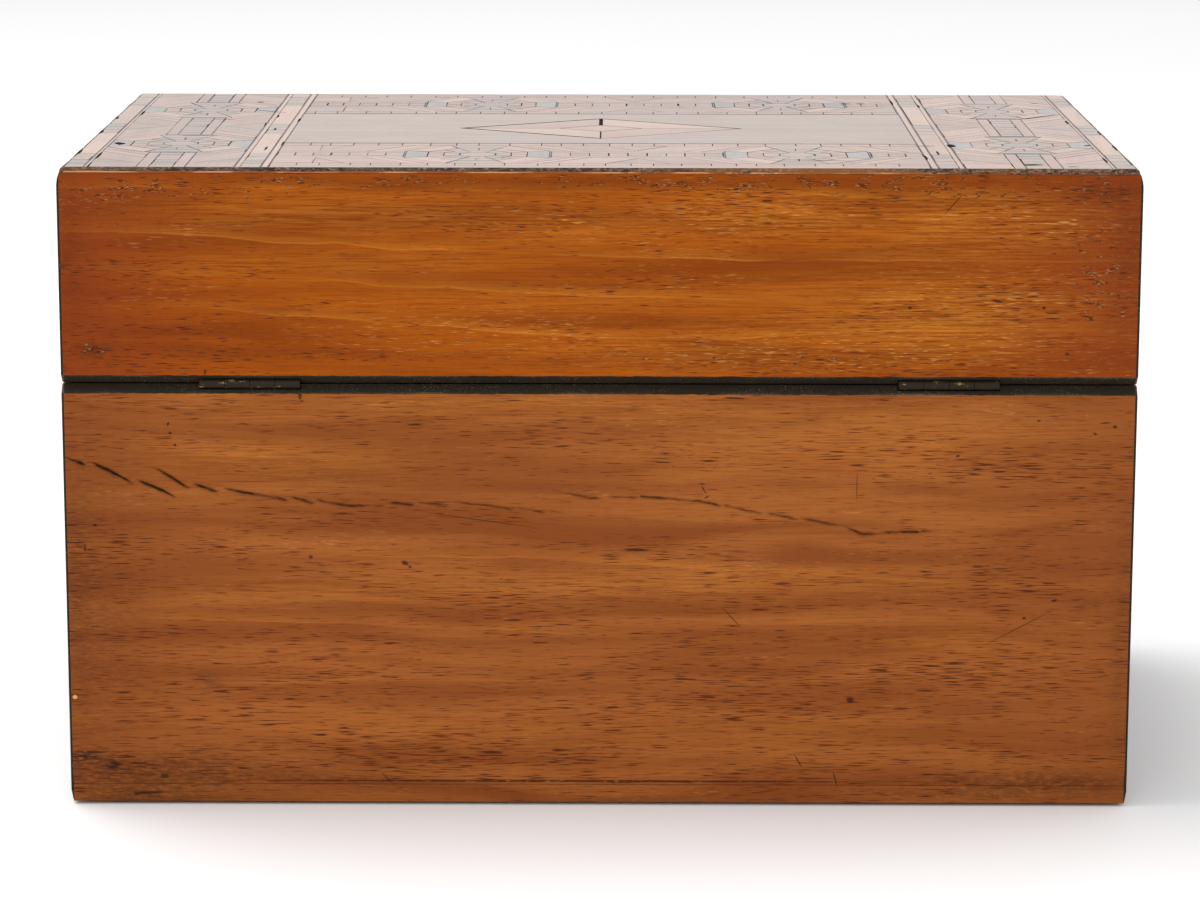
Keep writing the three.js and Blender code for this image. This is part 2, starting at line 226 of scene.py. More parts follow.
def make_piece(name, points, faces, finishes, body, nodes, finish_of=None, values=None, angle=40.0):
    """Puts points and faces into a mesh, turned to face outwards, and rides it on its body for its nodes."""
    if enclosed_volume(points, faces) < 0:
        faces = [group[:, ::-1] for group in faces]
    corners = np.concatenate([group.ravel() for group in faces])
    sizes = np.concatenate([np.full(len(group), group.shape[1]) for group in faces])
    mesh = bpy.data.meshes.new(name)
    mesh.vertices.add(len(points))
    mesh.vertices.foreach_set("co", points.astype(np.float32).ravel())
    mesh.loops.add(len(corners))
    mesh.loops.foreach_set("vertex_index", corners.astype(np.int32))
    mesh.polygons.add(len(sizes))
    mesh.polygons.foreach_set("loop_start", (np.cumsum(sizes) - sizes).astype(np.int32))
    for finish in finishes:
        mesh.materials.append(bpy.data.materials[finish])
    if finish_of is not None:
        mesh.polygons.foreach_set("material_index", finish_of.astype(np.int32))
    mesh.update(calc_edges=True)
    for key, (kind, domain, data) in (values or {}).items():
        attribute = mesh.attributes.new(key, kind, domain)
        field = "color" if kind == "FLOAT_COLOR" else "value"
        attribute.data.foreach_set(field, data.astype(np.float32).ravel())
    mesh.validate()
    mesh.shade_smooth()
    mesh.set_sharp_from_angle(angle=math.radians(angle))
    piece = bpy.data.objects.new(name, mesh)
    bpy.context.scene.collection.objects.link(piece)
    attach(piece, body)
    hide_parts(*nodes)
    return piece


def soft_outline(low, high, soft, inset, steps=4, spacing=8 * MM):
    """Rounded rectangle between two corners, drawn inset by each of the insets: straight runs with evenly
    spaced points, and corners that are quarter circles. Returns (insets, points, 2)."""
    inset = np.atleast_1d(inset)[:, None]
    turn = np.linspace(0, math.pi / 2, steps + 1)
    pieces = []
    signs = ((1, 1), (-1, 1), (-1, -1), (1, -1))
    radius = np.maximum(soft - inset, soft * 0.05)
    for quarter, (sx, sy) in enumerate(signs):
        angle = turn + quarter * math.pi / 2
        cx = (high[0] if sx > 0 else low[0]) - sx * (inset + radius)
        cy = (high[1] if sy > 0 else low[1]) - sy * (inset + radius)
        pieces.append(np.stack([cx + radius * np.cos(angle), cy + radius * np.sin(angle)], -1))
    runs = []
    for here, there in zip(pieces, pieces[1:] + pieces[:1]):
        start, stop = here[:, -1:], there[:, :1]
        count = max(2, int(np.linalg.norm(stop[0] - start[0]) / spacing))
        share = np.linspace(0, 1, count + 1)[1:-1][None, :, None]
        runs += [here, start + (stop - start) * share]
    return np.concatenate(runs, 1)


def soft_stations(start, stop, soft, spacing):
    """Stations along an axis, close together in the rounding at both ends, and each one's inset, which
    follows a quarter circle."""
    turn = np.linspace(0, math.pi / 2, 5)
    ends = soft * (1 - np.cos(turn))
    middle = np.linspace(start + soft, stop - soft, max(3, int((stop - start) / spacing)))
    place = np.concatenate([start + ends[:-1], middle, (stop - ends[:-1])[::-1]])
    rise = soft * (1 - np.sin(turn))
    inset = np.concatenate([rise[:-1], np.zeros(len(middle)), rise[:-1][::-1]])
    return place, inset


def soft_board(low, high, axis, soft, wave, seed):
    """A board with softened edges: a rounded rectangle carried along one axis, smaller at both ends along a
    quarter circle, and drawn in a little by slow waves along its length."""
    cross = [i for i in range(3) if i != axis]
    place, inset = soft_stations(low[axis], high[axis], soft, 6 * MM)
    hollow = wave * (0.5 + ripple(place, seed, 0.09, 0.5))
    outline = soft_outline(low[cross], high[cross], soft, inset + hollow)
    sections = np.empty(outline.shape[:2] + (3,))
    sections[..., cross[0]] = outline[..., 0]
    sections[..., cross[1]] = outline[..., 1]
    sections[..., axis] = place[:, None]
    return carried(sections)


def turned_piece(profile, place, sides):
    """A profile of (radius, height) pairs turned about an upright axis through place."""
    angle = np.arange(sides) * 2 * math.pi / sides
    radius, height = profile[:, :1], profile[:, 1:]
    sections = np.stack([
        place[0] + radius * np.cos(angle),
        place[1] + radius * np.sin(angle),
        place[2] + height + 0 * angle,
    ], -1)
    return carried(sections)


def camera_axes():
    """Right, up and backward of the photograph's camera, as rows."""
    x, y, z = np.radians(CAMERA_TURN)
    about_x = np.array([[1, 0, 0], [0, math.cos(x), -math.sin(x)], [0, math.sin(x), math.cos(x)]])
    about_y = np.array([[math.cos(y), 0, math.sin(y)], [0, 1, 0], [-math.sin(y), 0, math.cos(y)]])
    about_z = np.array([[math.cos(z), -math.sin(z), 0], [math.sin(z), math.cos(z), 0], [0, 0, 1]])
    return (about_z @ about_y @ about_x).T


def on_back_face(pixels):
    """Where pixels of the photograph (column, row) meet the box's back face: x and z in metres."""
    pixels = np.atleast_2d(np.asarray(pixels, float))
    reach = CAMERA_LENS / SENSOR * PHOTO_WIDTH
    right, up, backward = camera_axes()
    sideways = (pixels[:, :1] - PHOTO_WIDTH / 2) * right
    upwards = (PHOTO_HEIGHT / 2 - pixels[:, 1:]) * up
    ray = sideways + upwards - reach * backward
    start = np.array(CAMERA_PLACE)
    share = (BACK_Y - start[1]) / ray[:, 1:2]
    hit = start + share * ray
    return hit[:, 0], hit[:, 2]


# Node building

def put(tree, kind, settings=None, **inputs):
    """Adds a node. An input named iN is the Nth one, and any other by its name; a socket is linked."""
    node = tree.nodes.new(kind)
    for key, value in (settings or {}).items():
        setattr(node, key, value)
    for key, value in inputs.items():
        counted = key[0] == "i" and key[1:].isdigit()
        socket = node.inputs[int(key[1:])] if counted else node.inputs[key.replace("_", " ")]
        if isinstance(value, bpy.types.NodeSocket):
            tree.links.new(value, socket)
        else:
            socket.default_value = value
    return node


def calc(tree, operation, first, second=0.0, third=0.0):
    node = put(tree, "ShaderNodeMath", {"operation": operation}, i0=first, i1=second)
    if operation in ("MULTIPLY_ADD", "COMPARE", "SMOOTH_MAX"):
        put_third = node.inputs[2]
        if isinstance(third, bpy.types.NodeSocket):
            tree.links.new(third, put_third)
        else:
            put_third.default_value = third
    return node.outputs[0]


def window(tree, value, low, high):
    """0 below low and 1 above high, smooth between them. Low may be the greater."""
    settings = {"interpolation_type": "SMOOTHSTEP"}
    if low > high:
        return calc(tree, "SUBTRACT", 1.0, window(tree, value, high, low))
    return put(tree, "ShaderNodeMapRange", settings, i0=value, i1=low, i2=high).outputs[0]


def tint(tree, share, under, over, mode="MIX"):
    """Colour over laid on colour under by share."""
    node = tree.nodes.new("ShaderNodeMix")
    node.data_type = "RGBA"
    node.blend_type = mode
    for socket, value in ((node.inputs[0], share), (node.inputs[6], under), (node.inputs[7], over)):
        if isinstance(value, bpy.types.NodeSocket):
            tree.links.new(value, socket)
        elif socket == node.inputs[0]:
            socket.default_value = value
        else:
            socket.default_value = (*value, 1.0)
    return node.outputs[2]


def noise(tree, vector, scale, detail=3.0, rough=0.55):
    """Noise of a vector scaled by three numbers, in waves per millimetre."""
    scaled = put(tree, "ShaderNodeVectorMath", {"operation": "MULTIPLY"}, i0=vector, i1=scale).outputs[0]
    return put(tree, "ShaderNodeTexNoise", i2=1.0, Vector=scaled, Detail=detail, Roughness=rough).outputs[0]


def in_millimetres(tree, turn=(0, 0, 0)):
    """Object coordinates in millimetres, turned so that the grain runs along X."""
    place = put(tree, "ShaderNodeTexCoord").outputs["Object"]
    scaled = put(tree, "ShaderNodeVectorMath", {"operation": "SCALE"}, i0=place, Scale=1000.0).outputs[0]
    turned = put(tree, "ShaderNodeMapping", {"vector_type": "POINT"}, Vector=scaled, Rotation=turn)
    return turned.outputs[0]


def new_group(name, inputs, outputs):
    """A shader node group with named sockets. inputs are (name, kind, default)."""
    group = bpy.data.node_groups.new(name, "ShaderNodeTree")
    for label, kind, default in inputs:
        socket = group.interface.new_socket(name=label, in_out="INPUT", socket_type=kind)
        if default is not None:
            socket.default_value = default
    for label, kind in outputs:
        group.interface.new_socket(name=label, in_out="OUTPUT", socket_type=kind)
    return group, group.nodes.new("NodeGroupInput").outputs, group.nodes.new("NodeGroupOutput").inputs


def place_group(tree, name, **inputs):
    """Puts a shader node group into a tree."""
    return put(tree, "ShaderNodeGroup", {"node_tree": bpy.data.node_groups[name]}, **inputs).outputs


NUMBER = "NodeSocketFloat"
VECTOR = "NodeSocketVector"


def group_wood_figure():
    """Grain along X of a vector in millimetres: broad bands, fine streaks and fibres, dark pores and bright
    flecks in clusters, and the height of it all. The zones, from 0 to 1, add pores and flecks."""
    group, source, sink = new_group(
        "wood figure",
        [("Vector", VECTOR, None), ("Band Width", NUMBER, 9.0), ("Pore Length", NUMBER, 4.0),
         ("Pore Width", NUMBER, 0.35), ("Pore Amount", NUMBER, 0.5), ("Fleck Amount", NUMBER, 0.5),
         ("Pore Zone", NUMBER, 0.0), ("Fleck Zone", NUMBER, 0.0)],
        [("Bands", NUMBER), ("Streaks", NUMBER), ("Pore Shade", NUMBER), ("Pores", NUMBER), ("Flecks", NUMBER),
         ("Height", NUMBER)],
    )
    vector = source["Vector"]
    bent = noise(group, vector, (0.012, 0.05, 0.05), 1.0)
    lift = calc(group, "MULTIPLY_ADD", bent, 14.0, -7.0)
    shift = put(group, "ShaderNodeCombineXYZ", X=0.0, Y=lift, Z=lift).outputs[0]
    curved = put(group, "ShaderNodeVectorMath", {"operation": "ADD"}, i0=vector, i1=shift).outputs[0]
    across = calc(group, "DIVIDE", 1.0, source["Band Width"])
    band_scale = put(group, "ShaderNodeCombineXYZ", X=0.006, Y=across, Z=across).outputs[0]
    bands = noise(group, curved, band_scale, 2.0)
    streaks = noise(group, vector, (0.05, 1.9, 1.9), 3.0, 0.7)
    pore_x = calc(group, "DIVIDE", 1.0, source["Pore Length"])
    pore_z = calc(group, "DIVIDE", 1.0, source["Pore Width"])
    pore_scale = put(group, "ShaderNodeCombineXYZ", X=pore_x, Y=pore_z, Z=pore_z).outputs[0]
    dashes = noise(group, vector, pore_scale, 1.5, 0.5)
    clusters = window(group, noise(group, curved, (0.016, 0.13, 0.13), 2.0, 0.65), 0.42, 0.66)
    ease = calc(group, "MULTIPLY_ADD", clusters, 0.09, calc(group, "MULTIPLY", source["Pore Zone"], 0.07))
    level = calc(group, "MULTIPLY_ADD", source["Pore Amount"], 0.1, ease)
    cut = calc(group, "ADD", dashes, level)
    hairs = calc(group, "ADD", noise(group, curved, (0.045, 3.0, 3.0), 2.0, 0.5), calc(group, "MULTIPLY", source["Pore Zone"], 0.06))
    hairs = window(group, hairs, 0.66, 0.76)
    shade = calc(group, "MAXIMUM", window(group, cut, 0.66, 0.84), hairs)
    pores = calc(group, "MAXIMUM", window(group, cut, 0.76, 0.82), calc(group, "MULTIPLY", hairs, 0.45))
    fleck_dashes = noise(group, vector, (0.28, 3.2, 3.2), 1.0, 0.5)
    fleck_clusters = window(group, noise(group, curved, (0.02, 0.2, 0.2), 2.0), 0.52, 0.8)
    near = calc(group, "MINIMUM", calc(group, "ADD", fleck_clusters, source["Fleck Zone"]), 1.0)
    fleck_level = calc(group, "MULTIPLY_ADD", source["Fleck Amount"], 0.1, fleck_dashes)
    flecks = calc(group, "MULTIPLY", window(group, fleck_level, 0.66, 0.8), near)
    sunk = calc(group, "MULTIPLY", window(group, dashes, 0.62, 0.74), 0.5)
    height = calc(group, "SUBTRACT", calc(group, "MULTIPLY_ADD", streaks, 0.3, 0.6), sunk)
    found = (bands, streaks, shade, pores, flecks, height)
    for label, socket in zip(("Bands", "Streaks", "Pore Shade", "Pores", "Flecks", "Height"), found):
        group.links.new(socket, sink[label])


def group_worn_spots():
    """Irregular worn spots of about the given size: noise above a level that falls as the amount rises."""
    group, source, sink = new_group(
        "worn spots",
        [("Vector", VECTOR, None), ("Size", NUMBER, 1.5), ("Amount", NUMBER, 0.3), ("Stretch", NUMBER, 2.0)],
        [("Spots", NUMBER)],
    )
    fine = calc(group, "DIVIDE", 1.0, source["Size"])
    along = calc(group, "DIVIDE", fine, source["Stretch"])
    scale = put(group, "ShaderNodeCombineXYZ", X=along, Y=fine, Z=fine).outputs[0]
    spread = noise(group, source["Vector"], scale, 3.0, 0.7)
    level = calc(group, "MULTIPLY_ADD", source["Amount"], 0.25, spread)
    group.links.new(window(group, level, 0.62, 0.7), sink["Spots"])


def group_mark():
    """A soft-edged oval mark on an upright face: 1 inside and 0 outside, turned in the X-Z plane."""
    group, source, sink = new_group(
        "mark",
        [("Vector", VECTOR, None), ("Middle", VECTOR, None), ("Turn", VECTOR, None), ("Half Size", VECTOR, None),
         ("Softness", NUMBER, 0.5)],
        [("Mark", NUMBER)],
    )
    local = put(
        group, "ShaderNodeMapping", {"vector_type": "TEXTURE"}, Vector=source["Vector"], Location=source["Middle"],
        Rotation=source["Turn"], Scale=source["Half Size"],
    ).outputs[0]
    far = put(group, "ShaderNodeVectorMath", {"operation": "LENGTH"}, i0=local).outputs["Value"]
    inner = calc(group, "SUBTRACT", 1.0, source["Softness"])
    settings = {"interpolation_type": "SMOOTHSTEP"}
    fade = put(group, "ShaderNodeMapRange", settings, i0=far, i1=inner, i2=1.05, i3=1.0, i4=0.0).outputs[0]
    group.links.new(fade, sink["Mark"])


def new_material(name):
    material = bpy.data.materials.new(name)
    material.use_nodes = True
    tree = material.node_tree
    tree.nodes.clear()
    shader = tree.nodes.new("ShaderNodeBsdfPrincipled")
    tree.links.new(shader.outputs[0], tree.nodes.new("ShaderNodeOutputMaterial").inputs[0])
    return tree, shader


def bumped(tree, shader, height, depth, strength=1.0):
    bump = put(tree, "ShaderNodeBump", Height=height, Distance=depth, Strength=strength)
    tree.links.new(bump.outputs[0], shader.inputs["Normal"])


# Marks on the back, in pixels of the photograph: column, row, half length, half width, turn in degrees
DARK_MARKS = (
    (405, 563, 5, 3, 20), (410, 567, 2.5, 2, 0), (635, 550, 20, 2.2, 0), (1054, 600, 4, 3, 0),
    (1024, 618, 2.5, 2, 0), (850, 700, 5, 4.5, 0), (910, 308, 3, 2, 0), (1044, 308, 2.5, 2, 0),
    (1067, 354, 3, 2, 0), (997, 301, 8, 1.8, 12), (205, 372, 2, 3, 0), (704, 490, 6, 1.2, 60),
    (702, 484, 4, 1, 10), (707, 497, 4, 1, -30), (300, 396, 2.6, 5, 0), (300, 401, 5, 1.5, 0),
    (1115, 427, 2.8, 2.4, 0), (1105, 423, 7, 0.9, -8), (1095, 434, 3, 1.6, 20), (1039, 421, 3, 1.5, 0),
    (958, 456, 3, 1.8, -20), (311, 557, 3.2, 2.6, 0), (170, 433, 2, 2, -50), (168, 424, 1.5, 3, 20), (175, 445, 2, 2, 0),
    (95, 525, 3, 2, 0), (85, 548, 1.2, 6, 0), (114, 765, 11, 7, 0), (85, 757, 18, 3.5, 0), (92, 752, 22, 1.5, 0),
    (165, 776, 8, 2.6, 0), (138, 763, 12, 1.6, 0), (145, 793, 24, 2.2, -4), (560, 781, 420, 1.6, 0),
)
SCRATCHES = (
    (954, 204, 17, 0.9, -49), (857, 486, 19, 0.7, 90), (732, 618, 18, 0.8, 47), (798, 761, 10, 1.1, 60),
    (835, 779, 11, 1.1, 75), (387, 778, 10, 1.0, 45), (1018, 628, 48, 0.7, -28), (480, 520, 68, 0.7, 8),
)
PIN_MARKS = ((75, 697, 2.8, 2.6, 0),)
# Soft zones on the back, in pixels of the photograph: column, row, half length, half width, strength
# Darkened zones on the back: the small ones are smudges of grime; the long strips make the back darker along both ends,
# along the bottom and along the joint.
DARKENED_ZONES = (
    (110, 763, 30, 14, 0.8), (84, 757, 24, 10, 0.7), (210, 680, 16, 9, 0.5), (1045, 783, 110, 12, 0.7),
    (1000, 795, 180, 9, 0.5), (140, 795, 80, 9, 0.8), (92, 350, 22, 9, 0.5), (1090, 605, 24, 6, 0.4),
    (80, 600, 20, 170, 0.5), (70, 250, 14, 70, 0.3), (1128, 250, 16, 80, 0.35), (1122, 640, 14, 160, 0.3),
    (1110, 195, 40, 14, 0.5), (600, 384, 560, 14, 0.25), (120, 775, 190, 28, 0.65), (600, 797, 560, 6, 0.15),
    (100, 620, 50, 170, 0.3),
)
PORE_ZONES = (
    (120, 340, 90, 32, 1.0), (250, 345, 120, 22, 0.6), (100, 265, 70, 30, 0.5), (180, 205, 130, 22, 0.5),
    (800, 195, 320, 12, 0.6), (850, 245, 120, 20, 0.4), (1050, 330, 90, 26, 0.4), (200, 548, 140, 14, 0.9),
    (230, 655, 200, 34, 1.0), (520, 700, 380, 34, 0.8), (980, 690, 160, 40, 0.9), (1010, 470, 130, 26, 0.8),
    (760, 455, 200, 24, 0.5), (600, 600, 260, 22, 0.7), (560, 425, 260, 22, 0.5), (1040, 575, 110, 20, 0.7),
    (330, 620, 260, 16, 0.5), (850, 640, 240, 14, 0.6), (450, 755, 380, 18, 0.6), (900, 760, 220, 20, 0.7),
)
# Zones with more bright flecks, which are partly painted sheen.
FLECK_ZONES = (
    (850, 350, 260, 22, 1.0), (760, 215, 110, 16, 1.0), (1040, 222, 90, 18, 1.0), (980, 300, 120, 34, 0.8),
    (470, 330, 150, 26, 0.7), (540, 225, 110, 14, 0.6), (650, 418, 90, 14, 0.8), (960, 415, 150, 14, 0.5),
    (620, 590, 90, 10, 0.6), (260, 470, 110, 14, 0.5), (480, 588, 120, 8, 0.6), (600, 765, 320, 24, 0.3),
)
# Golden glow zones: partly lighter figure of the wood, partly painted sheen of its varnish.
GLOW_ZONES = (
    (330, 212, 260, 22, 0.7), (560, 226, 150, 30, 0.6), (760, 215, 140, 24, 1.0), (1000, 225, 170, 36, 1.1),
    (960, 320, 200, 46, 1.1), (330, 262, 260, 14, 0.5), (640, 300, 300, 20, 0.4), (760, 350, 260, 20, 0.6),
    (560, 405, 420, 24, 0.5), (250, 460, 160, 22, 0.6), (880, 440, 220, 40, 0.4), (700, 585, 330, 16, 0.5),
    (420, 590, 260, 16, 0.4), (640, 735, 380, 22, 0.35), (960, 640, 190, 20, 0.4),
)
PIT_ZONES = (
    (920, 184, 250, 9, 1.0), (150, 190, 120, 10, 0.95), (1100, 275, 34, 46, 0.8), (66, 220, 7, 5, 1.2),
    (121, 222, 12, 6, 1.2), (420, 182, 170, 7, 0.7), (1010, 194, 110, 10, 0.7), (680, 184, 180, 8, 0.9),
    (92, 350, 30, 8, 0.7), (700, 360, 500, 12, 0.3), (300, 178, 80, 5, 0.9),
)
# Golden, rubbed stretches of the dark edge of the top
LIPPING_GLOW = ((825, 172, 135, 40, 1.0), (70, 172, 60, 40, 0.6), (990, 172, 30, 40, 0.7), (1080, 174, 70, 40, 0.2))
# Stretches where the pale line under it is covered with grime
DULL_EDGE = ((1060, 175, 130, 60, 1.3), (760, 175, 60, 60, 0.5), (640, 175, 30, 60, 0.5))
LID_GROWTH_LINES = (
    ((60, 187), (350, 189), (640, 193), (950, 198), (1140, 200)),
    ((60, 230), (350, 245), (650, 258), (950, 261), (1150, 262)),
    ((60, 269), (200, 276), (350, 283), (600, 296), (1140, 300)),
    ((60, 298), (350, 320), (650, 338), (950, 330), (1140, 332)),
)
BASE_GROWTH_LINES = (
    ((64, 539), (212, 553), (500, 558), (800, 574), (1130, 590)),
    ((64, 618), (300, 622), (700, 640), (1130, 652)),
)
# The three cracks of the base, from the highest to the lowest, the columns that each opens between, how wide
# it opens at the first and at the second, and the length and rise of its splits in millimetres
CRACKS = (
    (((50, 445), (157, 452), (553, 491), (590, 498), (640, 497), (700, 501), (745, 510), (800, 519),
      (845, 526), (862, 534), (938, 531), (1150, 534)), (549, 942), (0.8, 1.0), 15.0, 0.45),
    (((50, 452), (157, 471), (185, 485), (255, 495), (300, 500), (350, 505), (450, 503), (500, 507),
      (568, 514), (700, 530), (1150, 548)), (144, 572), (1.35, 0.55), 13.0, 1.7),
    (((50, 454), (64, 458), (87, 463), (130, 480), (180, 497), (255, 515), (568, 540), (1150, 572)),
     (60, 184), (1.5, 1.3), 12.0, 1.7),
)
PIXEL = 0.2815  # millimetres on the back face in one pixel
SEAM_ROW = 384  # the joint's row in the photograph


def on_this_board(marks, lid):
    """Those marks that lie on the lid's back, or else those on the base's."""
    return [mark for mark in marks if (mark[1] < SEAM_ROW) == lid]


def marks_mask(tree, vector, marks, softness):
    """The strongest of several marks at each point."""
    total = None
    for column, row, half_long, half_wide, turn in marks:
        x, z = on_back_face((column, row))
        spot = place_group(
            tree, "mark", Vector=vector, Middle=(x[0] / MM, BACK_Y / MM, z[0] / MM), Turn=(0, -math.radians(turn), 0),
            Half_Size=(half_long * PIXEL, 100.0, half_wide * PIXEL), Softness=softness,
        )[0]
        total = spot if total is None else calc(tree, "MAXIMUM", total, spot)
    return total


def zone_values(x, z, zones):
    """How strongly soft oval zones cover points of the back: each falls off as a bell round its middle."""
    total = np.zeros(np.shape(x))
    for column, row, half_long, half_wide, strength in zones:
        middle_x, middle_z = on_back_face((column, row))
        u = (x - middle_x[0]) / (half_long * PIXEL * MM)
        v = (z - middle_z[0]) / (half_wide * PIXEL * MM)
        total = np.maximum(total, strength * np.exp(-(u ** 2 + v ** 2)))
    return total


def growth_lines(tree, vector, lines):
    """Pale growth lines that follow smooth curves of X through pixels of the photograph, each with a soft
    glow above it. They fade in and out along their length."""
    parts = put(tree, "ShaderNodeSeparateXYZ", i0=vector).outputs
    run = calc(tree, "MULTIPLY_ADD", parts[0], MM / (2 * HALF_WIDTH), 0.5)
    waver = calc(tree, "MULTIPLY_ADD", noise(tree, vector, (0.06, 0.02, 0.02), 1.0), 2.4, -1.2)
    level_here = calc(tree, "ADD", parts[2], waver)
    total = None
    for pixels in lines:
        x, z = on_back_face(pixels)
        share = (x + HALF_WIDTH) / (2 * HALF_WIDTH)
        level = z / TOP_Z
        node = tree.nodes.new("ShaderNodeFloatCurve")
        curve = node.mapping.curves[0]
        order = np.argsort(share)
        for at, up in zip(share[order], level[order]):
            curve.points.new(float(np.clip(at, 0.001, 0.999)), float(up))
        curve.points[0].location = (0.0, float(level[order][0]))
        curve.points[len(curve.points) - 1].location = (1.0, float(level[order][-1]))
        node.mapping.update()
        tree.links.new(run, node.inputs["Value"])
        above = calc(tree, "MULTIPLY_ADD", node.outputs[0], -TOP_Z / MM, level_here)
        thin = window(tree, calc(tree, "ABSOLUTE", above), 0.42, 0.0)
        glow = calc(tree, "MULTIPLY", window(tree, above, 3.4, 0.0), window(tree, above, -0.2, 0.2))
        line = calc(tree, "MULTIPLY_ADD", glow, 0.42, calc(tree, "MULTIPLY", thin, 0.5))
        total = line if total is None else calc(tree, "MAXIMUM", total, line)
    fading = window(tree, noise(tree, vector, (0.02, 0.05, 0.05), 1.0), 0.3, 0.65)
    return calc(tree, "MULTIPLY", total, fading)


def covered_by(tree, key):
    return put(tree, "ShaderNodeAttribute", {"attribute_name": key}).outputs["Fac"]


def material_back_wood(colours, name, lid):
    """Varnished orange-brown wood with its grain along X, and the marks that show on this board."""
    tree, shader = new_material(name)
    vector = in_millimetres(tree)
    # the base's colours hold a painted reflection of the floor
    wood, deep = (colours.lid_wood, colours.lid_deep) if lid else (colours.base_wood_and_reflection, colours.base_deep_and_reflection)
    figure = place_group(
        tree, "wood figure", Vector=vector, Band_Width=8.0, Pore_Length=5.0 if lid else 7.0, Pore_Width=0.3,
        Pore_Amount=0.7 if lid else 0.85, Fleck_Amount=0.7 if lid else 0.5,
        Pore_Zone=covered_by(tree, "pore_zone"), Fleck_Zone=covered_by(tree, "fleck_zone"),
    )
    body = tint(tree, window(tree, figure["Bands"], 0.34, 0.68), wood, deep)
    # golden glow: partly the wood's lighter figure, partly painted sheen
    glow = calc(tree, "MULTIPLY", covered_by(tree, "glow_zone"), window(tree, figure["Streaks"], 0.7, 0.35))
    body = tint(tree, calc(tree, "MULTIPLY", glow, 0.58), body, colours.golden)
    streak = calc(tree, "MULTIPLY", window(tree, figure["Streaks"], 0.44, 0.72), 0.62)
    body = tint(tree, streak, body, deep)
    lines = growth_lines(tree, vector, LID_GROWTH_LINES if lid else BASE_GROWTH_LINES)
    body = tint(tree, calc(tree, "MULTIPLY", lines, 0.75 if lid else 0.4), body, colours.golden)
    # Darker and redder toward both ends of the back.
    aside = calc(tree, "ABSOLUTE", put(tree, "ShaderNodeSeparateXYZ", i0=vector).outputs[0])
    ends = calc(tree, "MULTIPLY", window(tree, aside, 95.0, 154.0), 0.74 if lid else 0.5)
    body = tint(tree, ends, body, colours.reddish if lid else colours.base_deep_and_reflection)
    # bright flecks: partly the wood's figure, partly painted sheen
    body = tint(tree, calc(tree, "MULTIPLY", figure["Flecks"], 0.45 if lid else 0.32), body, colours.fleck)
    body = tint(tree, calc(tree, "MULTIPLY", figure["Pore Shade"], 0.65), body, colours.reddish)
    body = tint(tree, calc(tree, "MULTIPLY", figure["Pores"], 0.85), body, colours.pore)
    ragged = noise(tree, vector, (0.35, 1.2, 1.2), 3.0, 0.7)
    # darker in the small smudges and along the ends, the bottom and the joint of the back
    darkened = calc(tree, "MULTIPLY", covered_by(tree, "smudge_zone"), window(tree, ragged, 0.3, 0.6))
    body = tint(tree, calc(tree, "MULTIPLY", darkened, 0.85), body, colours.grime)
    if lid:
        spots = calc(tree, "MULTIPLY_ADD", covered_by(tree, "pit_zone"), 0.15, noise(tree, vector, (0.3, 0.8, 0.8), 2.0))
        spots = calc(tree, "MULTIPLY", window(tree, spots, 0.66, 0.73), window(tree, covered_by(tree, "pit_zone"), 0.05, 0.3))
        broken = noise(tree, vector, (0.85, 3.8, 3.8), 1.0)
        dark_parts = calc(tree, "MULTIPLY", spots, window(tree, broken, 0.46, 0.56))
        pale_parts = calc(tree, "MULTIPLY", spots, window(tree, broken, 0.44, 0.36))
        body = tint(tree, calc(tree, "MULTIPLY", dark_parts, 0.7), body, colours.grime)
        body = tint(tree, calc(tree, "MULTIPLY", pale_parts, 0.6), body, colours.pit)
    dark = calc(tree, "MULTIPLY", marks_mask(tree, vector, on_this_board(DARK_MARKS, lid), 0.6), window(tree, ragged, 0.3, 0.5))
    body = tint(tree, calc(tree, "MULTIPLY", dark, 0.85), body, colours.grime)
    scratches = marks_mask(tree, vector, on_this_board(SCRATCHES, lid), 0.6)
    body = tint(tree, calc(tree, "MULTIPLY", scratches, 0.7), body, colours.grime)
    if not lid:
        pins = marks_mask(tree, vector, PIN_MARKS, 0.4)
        body = tint(tree, calc(tree, "MULTIPLY", pins, 0.85), body, colours.fleck)
        # The crack and the soft edges round it are darkened: dirt in the crack and painted shade of its hollow.
        crack_dirt_and_shade = calc(tree, "MULTIPLY", covered_by(tree, "crack"), window(tree, ragged, 0.1, 0.62))
        body = tint(tree, calc(tree, "MULTIPLY", crack_dirt_and_shade, 0.95), body, colours.grime)
    tree.links.new(body, shader.inputs["Base Color"])
    rough = calc(tree, "MULTIPLY_ADD", figure["Pores"], 0.25, calc(tree, "MULTIPLY_ADD", figure["Streaks"], 0.14, 0.36))
    tree.links.new(rough, shader.inputs["Roughness"])
    shader.inputs["Specular IOR Level"].default_value = 0.04 if lid else 0.06
    bumped(tree, shader, figure["Height"], 0.00012, 0.6)


